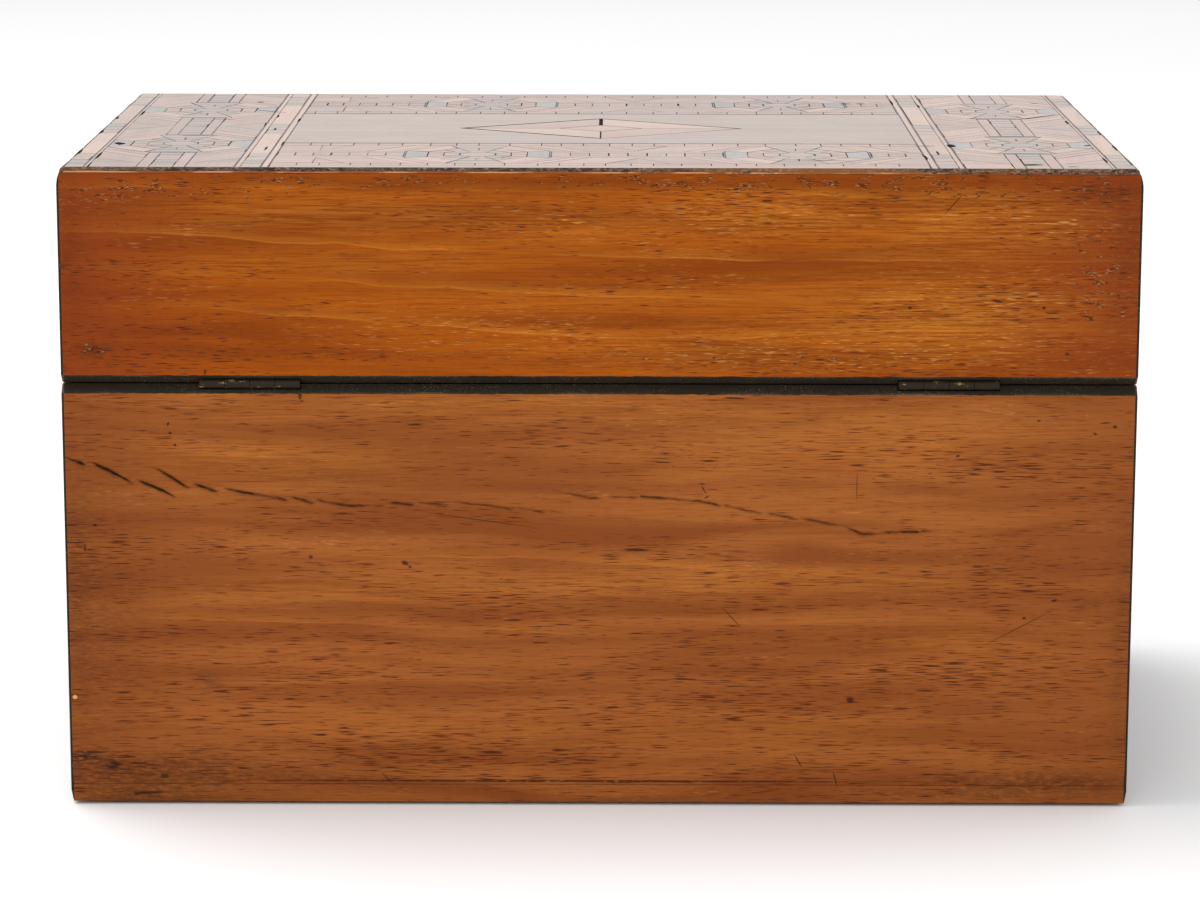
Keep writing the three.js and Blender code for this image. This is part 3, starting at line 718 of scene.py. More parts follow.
def material_plain_wood(name, light, dark, turn, gloss, specular=0.35):
    """Plain polished or bare wood with its grain along the axis that turn brings to X."""
    tree, shader = new_material(name)
    vector = in_millimetres(tree, turn)
    figure = place_group(
        tree, "wood figure", Vector=vector, Band_Width=7.0, Pore_Length=6.0, Pore_Width=0.5,
        Pore_Amount=0.35, Fleck_Amount=0.2,
    )
    body = tint(tree, window(tree, figure["Bands"], 0.34, 0.66), light, dark)
    streak = calc(tree, "MULTIPLY", window(tree, figure["Streaks"], 0.4, 0.7), 0.5)
    body = tint(tree, streak, body, dark)
    pores = calc(tree, "MULTIPLY_ADD", figure["Pore Shade"], 0.3, calc(tree, "MULTIPLY", figure["Pores"], 0.4))
    body = tint(tree, pores, body, [0.35 * part for part in dark])
    worn = place_group(tree, "worn spots", Vector=vector, Size=2.5, Amount=0.15, Stretch=3.0)[0]
    rubbed = put(tree, "ShaderNodeAttribute", {"attribute_name": "wear"}).outputs["Fac"]
    worn = calc(tree, "MULTIPLY", calc(tree, "ADD", calc(tree, "MULTIPLY", worn, 0.25), rubbed), 0.5)
    body = tint(tree, worn, body, [min(1.0, 1.5 * part) for part in light])
    tree.links.new(body, shader.inputs["Base Color"])
    tree.links.new(calc(tree, "MULTIPLY_ADD", figure["Streaks"], 0.2, gloss), shader.inputs["Roughness"])
    shader.inputs["Specular IOR Level"].default_value = specular
    bumped(tree, shader, figure["Height"], 0.0001, 0.5)


def material_ebonised(name, amount, tone, worn, rubbing=0.6):
    """Dark-stained wood with worn spots, more of them where the edge is rubbed."""
    tree, shader = new_material(name)
    vector = in_millimetres(tree)
    fine = place_group(tree, "worn spots", Vector=vector, Size=0.4, Amount=amount, Stretch=1.3)[0]
    broad = noise(tree, vector, (0.05, 0.2, 0.2), 3.0)
    rubbed = window(tree, covered_by(tree, "wear"), 0.5, 1.0)
    share = calc(tree, "MULTIPLY", fine, window(tree, broad, 0.3, 0.7))
    edge = calc(tree, "MULTIPLY", rubbed, calc(tree, "MULTIPLY_ADD", broad, 1.6, rubbing - 0.8))
    share = calc(tree, "MAXIMUM", calc(tree, "ADD", share, edge), 0.0)
    body = tint(tree, calc(tree, "MINIMUM", share, 1.0), tone, worn)
    tree.links.new(body, shader.inputs["Base Color"])
    tree.links.new(calc(tree, "MULTIPLY_ADD", share, 0.25, 0.42), shader.inputs["Roughness"])
    shader.inputs["Specular IOR Level"].default_value = 0.08
    bumped(tree, shader, calc(tree, "SUBTRACT", 1.0, share), 0.0001, 0.7)


def material_lipping(colours, name, pale):
    """The dark edge of the inlaid top, blotched, golden along some stretches, with pale rubbed specks, or the
    pale line under it where it isn't dull."""
    tree, shader = new_material(name)
    vector = in_millimetres(tree)
    blotch = window(tree, noise(tree, vector, (0.3, 1.0, 1.0), 3.0, 0.7), 0.44, 0.58)
    body = tint(tree, blotch, colours.lipping, [0.35 * part for part in colours.lipping])
    broad = noise(tree, vector, (0.08, 0.3, 0.3), 2.0)
    glow = calc(tree, "MULTIPLY", covered_by(tree, "glow_zone"), window(tree, broad, 0.4, 0.55))
    body = tint(tree, calc(tree, "MULTIPLY", glow, 0.75), body, colours.lipping_gold)
    amount = calc(tree, "MULTIPLY_ADD", covered_by(tree, "dull_zone"), 0.16, 0.3)
    specks = place_group(tree, "worn spots", Vector=vector, Size=0.55, Amount=amount, Stretch=2.2)[0]
    body = tint(tree, calc(tree, "MULTIPLY", specks, 0.7), body, colours.lipping_worn)
    if pale:
        line = tint(tree, calc(tree, "MULTIPLY", window(tree, broad, 0.45, 0.6), 0.8), colours.peach_edge, colours.lid_deep)
        ragged = calc(tree, "MULTIPLY_ADD", blotch, 0.3, covered_by(tree, "dull_zone"))
        body = tint(tree, window(tree, ragged, 0.85, 0.45), body, line)
    tree.links.new(body, shader.inputs["Base Color"])
    tree.links.new(calc(tree, "MULTIPLY_ADD", blotch, -0.15, 0.6), shader.inputs["Roughness"])
    shader.inputs["Specular IOR Level"].default_value = 0.08
    bumped(tree, shader, blotch, 0.0001, 0.7)


def material_inlay(colours):
    """Polished inlay: each piece of veneer has its own colour and grain direction, from its faces."""
    tree, shader = new_material("inlay woods")
    wood = put(tree, "ShaderNodeAttribute", {"attribute_name": "wood_colour"}).outputs["Color"]
    turn = put(tree, "ShaderNodeAttribute", {"attribute_name": "grain_turn"}).outputs["Fac"]
    vector = in_millimetres(tree)
    turned = put(tree, "ShaderNodeVectorRotate", {"rotation_type": "Z_AXIS"}, Vector=vector, Angle=turn).outputs[0]
    figure = place_group(
        tree, "wood figure", Vector=turned, Band_Width=5.0, Pore_Length=2.5, Pore_Width=0.3,
        Pore_Amount=0.4, Fleck_Amount=0.3,
    )
    deep = tint(tree, 1.0, wood, (0.62, 0.58, 0.55), "MULTIPLY")
    body = tint(tree, calc(tree, "MULTIPLY", window(tree, figure["Bands"], 0.35, 0.7), 0.35), wood, deep)
    body = tint(tree, calc(tree, "MULTIPLY", window(tree, figure["Streaks"], 0.42, 0.72), 0.4), body, deep)
    body = tint(tree, calc(tree, "MULTIPLY", figure["Pores"], 0.55), body, colours.pore)
    grime = place_group(tree, "worn spots", Vector=vector, Size=9.0, Amount=0.3, Stretch=1.5)[0]
    body = tint(tree, calc(tree, "MULTIPLY", grime, 0.18), body, deep)
    tree.links.new(body, shader.inputs["Base Color"])
    smear = noise(tree, vector, (0.05, 0.05, 0.05), 3.0)
    tree.links.new(calc(tree, "MULTIPLY_ADD", smear, 0.16, 0.3), shader.inputs["Roughness"])
    shader.inputs["Specular IOR Level"].default_value = 0.5
    shader.inputs["Coat Weight"].default_value = 0.35
    shader.inputs["Coat Roughness"].default_value = 0.22
    bumped(tree, shader, figure["Height"], 0.00006, 0.5)


def material_metal(name, bright, dark, amount, roughness):
    """Metal under a dark patina, bright where it is rubbed and along its edges."""
    tree, shader = new_material(name)
    vector = in_millimetres(tree)
    spots = place_group(tree, "worn spots", Vector=vector, Size=1.6, Amount=amount, Stretch=2.0)[0]
    fine = noise(tree, vector, (1.5, 3.0, 3.0), 4.0, 0.7)
    rubbed = put(tree, "ShaderNodeAttribute", {"attribute_name": "wear"}).outputs["Fac"]
    share = calc(tree, "ADD", calc(tree, "MULTIPLY", spots, 0.7), calc(tree, "MULTIPLY", rubbed, 0.5))
    share = calc(tree, "MINIMUM", calc(tree, "MULTIPLY", share, window(tree, fine, 0.3, 0.6)), 1.0)
    tree.links.new(tint(tree, share, dark, bright), shader.inputs["Base Color"])
    tree.links.new(calc(tree, "MULTIPLY_ADD", share, 0.6, 0.1), shader.inputs["Metallic"])
    shader.inputs["Specular IOR Level"].default_value = 0.15
    tree.links.new(calc(tree, "MULTIPLY_ADD", fine, 0.2, roughness), shader.inputs["Roughness"])
    bumped(tree, shader, fine, 0.00008, 0.6)


def material_even(name, tone, roughness, specular):
    """An even dark or pale finish with a slight unevenness."""
    tree, shader = new_material(name)
    vector = in_millimetres(tree)
    cloud = noise(tree, vector, (0.4, 0.9, 0.9), 4.0, 0.65)
    body = tint(tree, window(tree, cloud, 0.3, 0.75), tone, [0.6 * part for part in tone])
    tree.links.new(body, shader.inputs["Base Color"])
    tree.links.new(calc(tree, "MULTIPLY_ADD", cloud, 0.2, roughness), shader.inputs["Roughness"])
    shader.inputs["Specular IOR Level"].default_value = specular
    bumped(tree, shader, cloud, 0.00005, 0.4)


GRAIN_X = (0.0, 0.0, 0.0)
GRAIN_Y = (0.0, 0.0, math.radians(-90))


class FinishOperator(bpy.types.Operator):
    """Makes the shader node groups and the materials"""

    bl_idname = "tunbridge.finishes"
    bl_label = "Finishes"

    def execute(self, context):
        colours = context.scene.tunbridge_colours
        group_wood_figure()
        group_worn_spots()
        group_mark()
        material_back_wood(colours, "lid back wood", True)
        material_back_wood(colours, "base back wood", False)
        material_plain_wood("inside wood", colours.carcass, colours.carcass_dark, GRAIN_X, 0.5)
        material_plain_wood("inside wood end", colours.carcass, colours.carcass_dark, GRAIN_Y, 0.5)
        material_plain_wood("front veneer", colours.veneer, colours.veneer_dark, GRAIN_X, 0.3)
        material_plain_wood("side veneer", colours.veneer, colours.veneer_dark, GRAIN_Y, 0.3)
        material_plain_wood("foot wood", colours.foot, [0.5 * part for part in colours.foot], GRAIN_X, 0.4)
        material_ebonised("ebonised bevel", 0.16, colours.ebony, colours.ebony_worn, 0.1)
        material_lipping(colours, "ebonised lipping", False)
        material_lipping(colours, "pale edge", True)
        material_ebonised("worn side edge", 0.55, colours.side_edge, colours.side_edge_worn, 0.5)
        material_ebonised("veneer edge", 0.12, colours.ebony, colours.ebony_worn, 0.3)
        material_inlay(colours)
        material_metal("hinge brass", colours.brass, colours.patina, 0.12, 0.35)
        material_metal("screw iron", colours.iron, [0.35 * part for part in colours.iron], 0.3, 0.4)
        material_even("glue", colours.glue, 0.75, 0.015)
        return {"FINISHED"}


# Boards

BACK_ZONES = {
    "smudge_zone": DARKENED_ZONES, "pore_zone": PORE_ZONES, "fleck_zone": FLECK_ZONES, "glow_zone": GLOW_ZONES,
    "pit_zone": PIT_ZONES,
}
HINGE_NODES = [(span(f"hinge_{side}_base_leaf"), side) for side in ("left", "right")]


LID_LEAN = 0.85 * MM  # how far the lid's sides are worn in at their top
LEAN_REACH = 4.2 * MM  # and how far down that reaches
BASE_LEAN = 0.8 * MM  # the same at the base's lower corners
BASE_LEAN_REACH = 2.8 * MM


def worn_in(height_below, most, reach):
    """How far a corner is worn in at a height below its end: it grows as the power 2.2 toward the end."""
    return most * np.clip(1 - height_below / reach, 0, 1) ** 2.2


def in_hinge_bed(x):
    """1 where x lies within a hinge's bed, and 0 elsewhere."""
    clearance = 0.2 * MM
    inside = np.zeros(len(x))
    for (low, high), _ in HINGE_NODES:
        inside = np.maximum(inside, (x >= low[0] - clearance) & (x <= high[0] + clearance))
    return inside


def board_stations(start, stop, spacing):
    """Evenly spaced stations, with a pair a hair apart at each end of each hinge's bed."""
    clearance, hair = 0.2 * MM, 0.01 * MM
    ends = []
    for (low, high), _ in HINGE_NODES:
        for at in (low[0] - clearance, high[0] + clearance):
            ends += [at - hair, at + hair]
    even = np.linspace(start, stop, int((stop - start) / spacing))
    return np.unique(np.concatenate([even, ends]))


def crack_rows(x):
    """Height of each crack's middle at each x, and how far it is open, from 0 to about 1. A crack is a row
    of short splits: each rises a little toward +X, then the next starts lower, and it is open in its middle."""
    heights, opens = [], []
    for number, (pixels, (begin, end), wide, long, rise) in enumerate(CRACKS):
        px, pz = on_back_face(pixels)
        order = np.argsort(px)
        path = np.interp(x, px[order], pz[order])
        warped = x / (long * MM) + ripple(x, 150 + number, 0.03, 0.6)
        share = warped - np.floor(warped)
        edges = np.sort(on_back_face(((begin, 500), (end, 500)))[0])
        wide_here = np.interp(x, edges, wide[::-1])
        rise_here = rise * wide_here / max(wide)
        slant = rise_here * MM * (share - 0.5)
        fade = np.clip(np.minimum(x - edges[0], edges[1] - x) / (6 * MM), 0, 1)
        patchy = np.clip(0.9 + ripple(x, 31 + number, 11 * MM, 0.6), 0.45, 1)
        heights.append(path + (slant + ripple(x, 7 + number, 2.5 * MM, 0.12 * MM)) * (fade > 0))
        opens.append(wide_here * fade * patchy * np.clip(2.4 * np.sin(math.pi * share) - 0.15 * rise_here, 0, 1) ** 0.8)
    return np.array(heights), np.array(opens)


def back_board(name, node, lid, sizes):
    """The back board: an outline in Y-Z carried along X. Its outer face has rows that follow the cracks and
    sink into them, its joint edge is bevelled, and the outline drops into a bed where a hinge lies."""
    low, high = span(node)
    x = board_stations(low[0], high[0], (1.2 if lid else 0.8) * MM)
    bed = in_hinge_bed(x)
    rim = abs((low[2] if lid else high[2]) - JOINT_Z)
    far = abs((high[2] if lid else low[2]) - JOINT_Z)
    soft = sizes.arris
    back, inner = BACK_Y, low[1]
    worn_edge = 0.12 * MM + ripple(x, 3 + lid, 7 * MM, 0.12 * MM) + ripple(x, 5 + lid, 2 * MM, 0.08 * MM)
    worn_edge = np.clip(worn_edge, 0.02 * MM, None)
    bevel_start = rim + BEVEL + worn_edge
    one = np.ones_like(x)

    # Depth below the joint, from the bevel's edge down the outer face to its far edge
    if lid:
        steps = np.linspace(0, 1, 44)[:, None]
        rows = bevel_start + (far - soft - bevel_start) * steps
        sink = np.zeros_like(rows)
        crack = np.zeros_like(rows)
    else:
        heights, opens = crack_rows(x)
        half = sizes.crack_width / 2
        anchors, depths = [bevel_start], [0 * x]
        for height, gap in zip(heights, opens):
            depth = JOINT_Z - height
            for shift, share in ((-2.6, 0.0), (-1.0, 0.25), (-0.3, 1.0), (0.3, 1.0), (1.0, 0.25), (2.6, 0.0)):
                anchors.append(depth + shift * half * (0.4 + 0.6 * gap))
                depths.append(gap * share)
        anchors.append((far - soft) * one)
        depths.append(0 * x)
        anchors, depths = np.array(anchors), np.array(depths)
        anchors = np.maximum.accumulate(anchors, axis=0) + 1e-6 * np.arange(len(anchors))[:, None]
        above, below = np.linspace(0, 1, 12)[:-1], np.linspace(0, 1, 44)[1:] + len(anchors) - 2
        share = np.concatenate([above, 1 + np.arange(len(anchors) - 2), below])
        lower = np.minimum(share.astype(int), len(anchors) - 2)
        part = (share - lower)[:, None]
        rows = anchors[lower] * (1 - part) + anchors[lower + 1] * part
        crack = depths[lower] * (1 - part) + depths[lower + 1] * part
        sink = crack * sizes.crack_depth
    flat = sizes.wave * (0.5 + ripple(x, 11 + lid, 0.08, 0.5)) * np.sin(math.pi * (rows - rows[:1]) / (rows[-1:] - rows[:1]))
    outer_y = back - sink - flat

    # The rest of the outline: far edge, inner face, rim, bed or bevel. Each entry is (y, depth below the joint)
    ends = [
        (back - 0.3 * soft, far - 0.3 * soft), (back - soft, far), (inner + soft, far), (inner, far - soft),
        (inner, rim + soft), (inner + soft, rim),
    ]
    turned = np.array([[y * one, depth * one] for y, depth in ends])
    bed_points = [
        ((back - BED_INSET - 0.3 * MM, rim), (back - BED_INSET - 0.0 * MM, rim)),
        ((back - BED_INSET, rim), (back - BED_INSET, BED_DEPTH)),
        ((back - SHADED_RIM, rim), (back - SHADED_RIM, BED_DEPTH)),
        ((back - ROOM_INSET, rim), (back - ROOM_INSET, BED_DEPTH)),
        ((back - BEVEL, rim), (back - ROOM_INSET, ROOM_DEPTH)),
        ((back - (rim + BEVEL - ROOM_DEPTH), ROOM_DEPTH), (back - (rim + BEVEL - ROOM_DEPTH), ROOM_DEPTH)),
    ]
    joint = np.array([
        [plain[0] + (cut[0] - plain[0]) * bed, plain[1] + (cut[1] - plain[1]) * bed] for plain, cut in bed_points
    ])
    y = np.concatenate([outer_y, turned[:, 0], joint[:, 0]])
    depth = np.concatenate([rows, turned[:, 1], joint[:, 1]])
    z = JOINT_Z + depth if lid else JOINT_Z - depth
    lean = worn_in(far - depth, LID_LEAN * 0.25, LEAN_REACH) if lid else worn_in(far - depth, BASE_LEAN * 0.25, BASE_LEAN_REACH)
    end_share = np.clip((np.abs(x) - (high[0] - 1.5 * MM)) / (1.5 * MM), 0, 1)
    sections = np.stack([x - np.sign(x) * lean * end_share, y, z], -1).transpose(1, 0, 2)
    points, faces = carried(sections)

    count = sections.shape[1]
    outer = len(rows)
    finish = np.zeros(count, int)
    finish[outer - 1:outer + 1] = 0
    finish[outer + 1:outer + len(ends)] = 1
    finish[outer + len(ends):] = 1
    # The bevel is ebonised; the rim next to it has the same dark finish, as painted shade in the joint's gap.
    finish[count - 4:] = 2
    per_quad = np.tile(finish, len(x) - 1)
    finish_of = np.concatenate([per_quad, [1, 1]])
    crack_value = np.zeros((len(x), count))
    crack_value[:, :outer] = crack.T
    wear = np.zeros((len(x), count))
    wear[:, 0] = 1.0
    wear[:, -1] = 0.3
    names = ["lid back wood" if lid else "base back wood", "inside wood", "ebonised bevel"]
    values = {"crack": ("FLOAT", "POINT", crack_value), "wear": ("FLOAT", "POINT", wear)}
    for key, zones in BACK_ZONES.items():
        covered = zone_values(points[:, 0], points[:, 2], on_this_board(zones, lid))
        values[key] = ("FLOAT", "POINT", covered)
    return make_piece(
        name, points, faces, names, "lid" if lid else "base", [node],
        finish_of, values, 30.0,
    )


class BackBoardsOperator(bpy.types.Operator):
    """Makes the two varnished back boards, with their bevels, hinge beds and cracks"""

    bl_idname = "tunbridge.back_boards"
    bl_label = "Back boards"

    def execute(self, context):
        sizes = context.scene.tunbridge_sizes
        back_board("back_of_base", "base_back_board", False, sizes)
        back_board("back_of_lid", "lid_back_board", True, sizes)
        return {"FINISHED"}


PLAIN_BOARDS = (
    ("base_front_board", "base", 0), ("base_left_board", "base", 1), ("base_right_board", "base", 1),
    ("base_bottom_board", "base", 0), ("lid_front_board", "lid", 0), ("lid_left_board", "lid", 1),
    ("lid_right_board", "lid", 1), ("lid_top_board", "lid", 0),
)


def wear_at_ends(points, low, high):
    """1 at the block's edges and falling to 0 within 1.5 mm, from how near a point is to two faces at once."""
    near = np.minimum(points - low, high - points) / (1.5 * MM)
    two = np.sort(near, 1)[:, 1]
    return np.clip(1 - two, 0, 1)


class PlainBoardsOperator(bpy.types.Operator):
    """Makes the plain boards of the carcass: fronts, sides, bottom and top"""

    bl_idname = "tunbridge.plain_boards"
    bl_label = "Plain boards"

    def execute(self, context):
        sizes = context.scene.tunbridge_sizes
        for seed, (node, body, axis) in enumerate(PLAIN_BOARDS):
            low, high = span(node)
            points, faces = soft_board(low, high, axis, sizes.arris, sizes.wave, 40 + seed)
            names = ["inside wood" if axis == 0 else "inside wood end"]
            finish_of = None
            if node == "base_bottom_board":
                names.append("base back wood")
                middle = points[faces[0]].mean(1)
                seen = middle[:, 1] > high[1] - 0.6 * MM
                finish_of = np.concatenate([seen.astype(int), [0, 0]])
            values = {"wear": ("FLOAT", "POINT", 0.4 * wear_at_ends(points, low, high))}
            if node == "base_bottom_board":
                for key, zones in BACK_ZONES.items():
                    covered = zone_values(points[:, 0], points[:, 2], on_this_board(zones, False))
                    values[key] = ("FLOAT", "POINT", covered)
            make_piece(node.replace("_board", ""), points, faces, names, body, [node], finish_of, values)
        return {"FINISHED"}


def side_veneer(name, node, lid, side, sizes):
    """A side veneer: its outline in Y-Z with a bevelled joint corner, drawn through its thickness, with rings
    on both faces. The outer face's outline is a little smaller, and both faces lean in at the far edge."""
    low, high = span(node)
    rim = abs((low[2] if lid else high[2]) - JOINT_Z)
    far = abs((high[2] if lid else low[2]) - JOINT_Z)
    front, back = low[1], high[1]
    steps = np.linspace(0, 1, 60)
    rise = np.linspace(0, 1, 40)
    corner = [
        (front + (back - front) * steps, far + 0 * steps),
        (back + 0 * rise, far + (rim + BEVEL - far) * rise),
        (np.array([back - BEVEL]), np.array([rim])),
        (back - BEVEL + (front - back + BEVEL) * steps[1:], rim + 0 * steps[1:]),
        (front + 0 * rise[1:-1], rim + (far - rim) * rise[1:-1]),
    ]
    y = np.concatenate([part[0] for part in corner[:1]] + [part[0][1:] if i == 0 else part[0] for i, part in enumerate(corner[1:])])
    depth = np.concatenate([part[1] for part in corner[:1]] + [part[1][1:] if i == 0 else part[1] for i, part in enumerate(corner[1:])])
    middle = np.array([(front + back) / 2, (far + rim) / 2])
    half = np.array([(back - front) / 2, (far - rim) / 2])
    soft = 0.35 * MM
    rings = np.array([0.5, 1.1, 1.9, 3.0, 4.6]) * MM
    layers = np.concatenate([0 * rings, [0.0, 0.5, 0.8, 1.0], 0 * rings + 1])
    shrink = soft * (1 - np.sqrt(1 - np.clip((layers - 0.5) / 0.5, 0, 1) ** 2)) * 0.9
    shrink += np.concatenate([rings[::-1], np.zeros(4), rings])
    wave = ripple(y + 2 * depth, 60 + lid + 2 * (side > 0), 9 * MM, 0.12 * MM)
    ys = y + (middle[0] - y) / half[0] * (shrink[:, None] + np.abs(wave) * layers[:, None])
    depths = depth + (middle[1] - depth) / half[1] * (shrink[:, None] + np.abs(wave) * layers[:, None])
    inner_x = low[0] if side > 0 else high[0]
    outer_x = high[0] if side > 0 else low[0]
    x = inner_x + (outer_x - inner_x) * layers[:, None] + 0 * ys
    if lid:
        x -= side * worn_in(far - depths, LID_LEAN, LEAN_REACH) * (0.25 + 0.75 * layers[:, None])
    else:
        x -= side * worn_in(far - depths, BASE_LEAN, BASE_LEAN_REACH) * (0.25 + 0.75 * layers[:, None])
    z = JOINT_Z + depths if lid else JOINT_Z - depths
    sections = np.stack([x, ys, z], -1)
    points, faces = carried(sections)
    on_back = np.abs(points[faces[0]].mean(1)[:, 1] - back) < 0.5 * MM
    finish_of = np.concatenate([on_back.astype(int), [0, 0]])
    wear = np.concatenate([0 * rings, [0, 0, 0.5, 1.0, 0.4, 0, 0, 0, 0]])
    values = {"wear": ("FLOAT", "POINT", np.repeat(wear, sections.shape[1]))}
    return make_piece(
        name, points, faces, ["side veneer", "veneer edge"], "lid" if lid else "base",
        [node], finish_of, values,
    )


class VeneersOperator(bpy.types.Operator):
    """Makes the thin veneers on the front and the two sides of the base and the lid"""

    bl_idname = "tunbridge.veneers"
    bl_label = "Veneers"

    def execute(self, context):
        sizes = context.scene.tunbridge_sizes
        for body in ("base", "lid"):
            for word, side in (("left", -1), ("right", 1)):
                side_veneer(f"{body}_{word}_facing", f"{body}_{word}_veneer", body == "lid", side, sizes)
            node = f"{body}_front_veneer"
            low, high = span(node)
            points, faces = soft_board(low, high, 0, 0.3 * MM, 0.04 * MM, 70 + len(body))
            values = {"wear": ("FLOAT", "POINT", 0.7 * wear_at_ends(points, low, high))}
            make_piece(f"{body}_front_facing", points, faces, ["front veneer"], body, [node], None, values)
        return {"FINISHED"}


# Inlay

MEDALLION = 20.65 * MM  # from a medallion's middle to its flat sides, and half the width of a strip
RING = 6.4 * MM  # width of the medallion's ring
BAR_HALF = 6.8 * MM
RAIL = 3.4 * MM
TRIANGLE_HALF = 9.0 * MM
TRIANGLE_HEIGHT = 12.0 * MM
SLANT_NEAR = 24.4 * MM
SLANT_FAR = 27.9 * MM
TICK_ROW = 5.4 * MM
EDGE_MARGIN = 2.1 * MM
END_MEDALLIONS = (-47.7 * MM, 40.2 * MM)
BAND_MEDALLIONS = (-56.7 * MM, 35.2 * MM)
STRIP_TO_EDGE = 0.75 * MM


CHIP_LINE = 0.01 * MM
WIDE_JOINT_SHARE = 0.16
WORN_CORNER_SHARE = 0.12


class Veneers:
    """Pieces of veneer for one field: outlines in plan, grouped by how many corners they have."""

    def __init__(self, colours, seed, shade=1.0):
        self.colours = colours
        self.shade = shade
        self.rng = np.random.default_rng(seed)
        self.groups = {}

    def add(self, outline, wood, turn=0.0, line=None, shade=None):
        outline = np.asarray(outline, float)
        drawn = self.rng.uniform(0.86, 1.1)
        shade = self.shade * (drawn if shade is None else shade)
        polished = 0.0 if wood == "chip" else 1.0  # kept as the tone's fourth number
        tone = np.array([*[part * shade for part in getattr(self.colours, wood)], polished])
        self.groups.setdefault(len(outline), []).append((outline, tone, turn, line))

    def block(self, x0, x1, y0, y1, wood, turn=0.0, line=None):
        if x1 - x0 > 0.2 * MM and y1 - y0 > 0.2 * MM:
            self.add([(x0, y0), (x1, y0), (x1, y1), (x0, y1)], wood, turn, line)


def inset_outlines(outlines, inset):
    """Outlines drawn inwards: each side moves in by its own inset, and each corner to where two sides meet."""
    sides = np.roll(outlines, -1, 1) - outlines
    run = np.linalg.norm(sides, axis=2, keepdims=True)
    inward = np.stack([-sides[..., 1], sides[..., 0]], -1) / run
    before = np.roll(inward, 1, 1)
    here, there = inset[..., None], np.roll(inset, 1, 1)[..., None]
    bend = (before * inward).sum(2, keepdims=True)
    spread = np.maximum(1 - bend ** 2, 0.05)
    return outlines + (before * (there - here * bend) + inward * (here - there * bend)) / spread


def veneer_pieces(veneers, sizes):
    """Flat closed pieces whose tops are flush with the lid's top: each outline, drawn in by half a glue line,
    as an upper and a lower face joined by upright sides."""
    points, faces, tones, turns = [], [], [], []
    start = 0
    for corners, entries in sorted(veneers.groups.items()):
        outlines = np.array([entry[0] for entry in entries])
        area = (outlines[..., 0] * np.roll(outlines[..., 1], -1, 1) - np.roll(outlines[..., 0], -1, 1) * outlines[..., 1]).sum(1)
        outlines[area < 0] = outlines[area < 0][:, ::-1]
        count = len(outlines)
        given = np.array([np.broadcast_to(np.nan if entry[3] is None else entry[3], corners) for entry in entries])
        given[area < 0] = np.roll(given[area < 0][:, ::-1], -1, 1)
        thin = sizes.glue_line * veneers.rng.uniform(0.6, 1.6, (count, corners))
        thick = veneers.rng.random((count, corners)) < WIDE_JOINT_SHARE
        uneven = np.where(thick, sizes.glue_line * veneers.rng.uniform(1.8, 3.6, (count, corners)), thin)
        shortest = np.linalg.norm(np.roll(outlines, -1, 1) - outlines, axis=2).min(1, keepdims=True)
        uneven = np.minimum(uneven, 0.09 * shortest + 0.05 * MM)
        plan = inset_outlines(outlines, np.where(np.isnan(given), uneven, given) / 2)
        worn = np.where(veneers.rng.random((count, corners)) < WORN_CORNER_SHARE, 0.5, 0.06)
        worn = worn * veneers.rng.random((count, corners)) * MM
        middle = plan.mean(1, keepdims=True)
        reach = np.linalg.norm(plan - middle, axis=2)
        free = np.isnan(given) & np.isnan(np.roll(given, 1, 1))
        plan += (middle - plan) * (np.minimum(worn, 0.06 * reach) / reach)[..., None] * free[..., None]
        drop = veneers.rng.uniform(0.008 * MM, 0.018 * MM, count)
        drop[given[:, 0] == CHIP_LINE] = 0.002 * MM  # a chip's filling lies over the veneers round it
        top = np.concatenate([plan, np.broadcast_to((TOP_Z - drop)[:, None, None], (count, corners, 1))], 2)
        under = top.copy()
        under[..., 2] = TOP_Z - sizes.bed - 0.15 * MM
        both = np.concatenate([top, under], 1)
        points.append(both.reshape(-1, 3))
        base = start + np.arange(count)[:, None] * 2 * corners
        ring = np.arange(corners)
        upper = base + ring
        lower = (base + corners + ring)[:, ::-1]
        ahead = np.roll(ring, -1)
        walls = np.stack([base + corners + ring, base + corners + ahead, base + ahead, base + ring], -1)
        tone = np.array([entry[1] for entry in entries])
        turn = np.array([entry[2] for entry in entries])
        for group in (upper, lower):
            faces.append(group)
            tones.append(tone)
            turns.append(turn)
        faces.append(walls.reshape(-1, 4))
        tones.append(np.repeat(tone, corners, 0))
        turns.append(np.repeat(turn, corners))
        start += count * 2 * corners
    return np.concatenate(points), faces, np.concatenate(tones), np.concatenate(turns)


def edge_drop(x, y, sizes):
    """How far the worn edge lies below the top: a quarter of an ellipse that starts a set way in from the
    side, and a smaller one along the back and front, uneven along their length."""
    side = HALF_WIDTH - np.abs(x)
    end = HALF_DEPTH - np.abs(y)
    side_reach = sizes.side_round * (1 + ripple(y + np.sign(x), 81, 0.03, 0.25))
    end_reach = sizes.back_round * (1 + ripple(x + np.sign(y), 82, 0.025, 0.5))
    a = np.clip(1 - side / side_reach, 0, 1)
    b = np.clip(1 - end / end_reach, 0, 1)
    shape = np.clip(a ** 2 + b ** 2, 0, 1)
    return sizes.round_drop * (1 - np.sqrt(1 - shape))


# Bites out of the top's back edge: place along X, depth and half width
BACK_CHIPS = (
    (93.3 * MM, 0.7 * MM, 1.2 * MM), (-113.0 * MM, 0.4 * MM, 0.8 * MM), (-121.5 * MM, 0.5 * MM, 1.6 * MM),
    (20.0 * MM, 0.35 * MM, 2.5 * MM), (118.0 * MM, 0.4 * MM, 4.0 * MM),
)


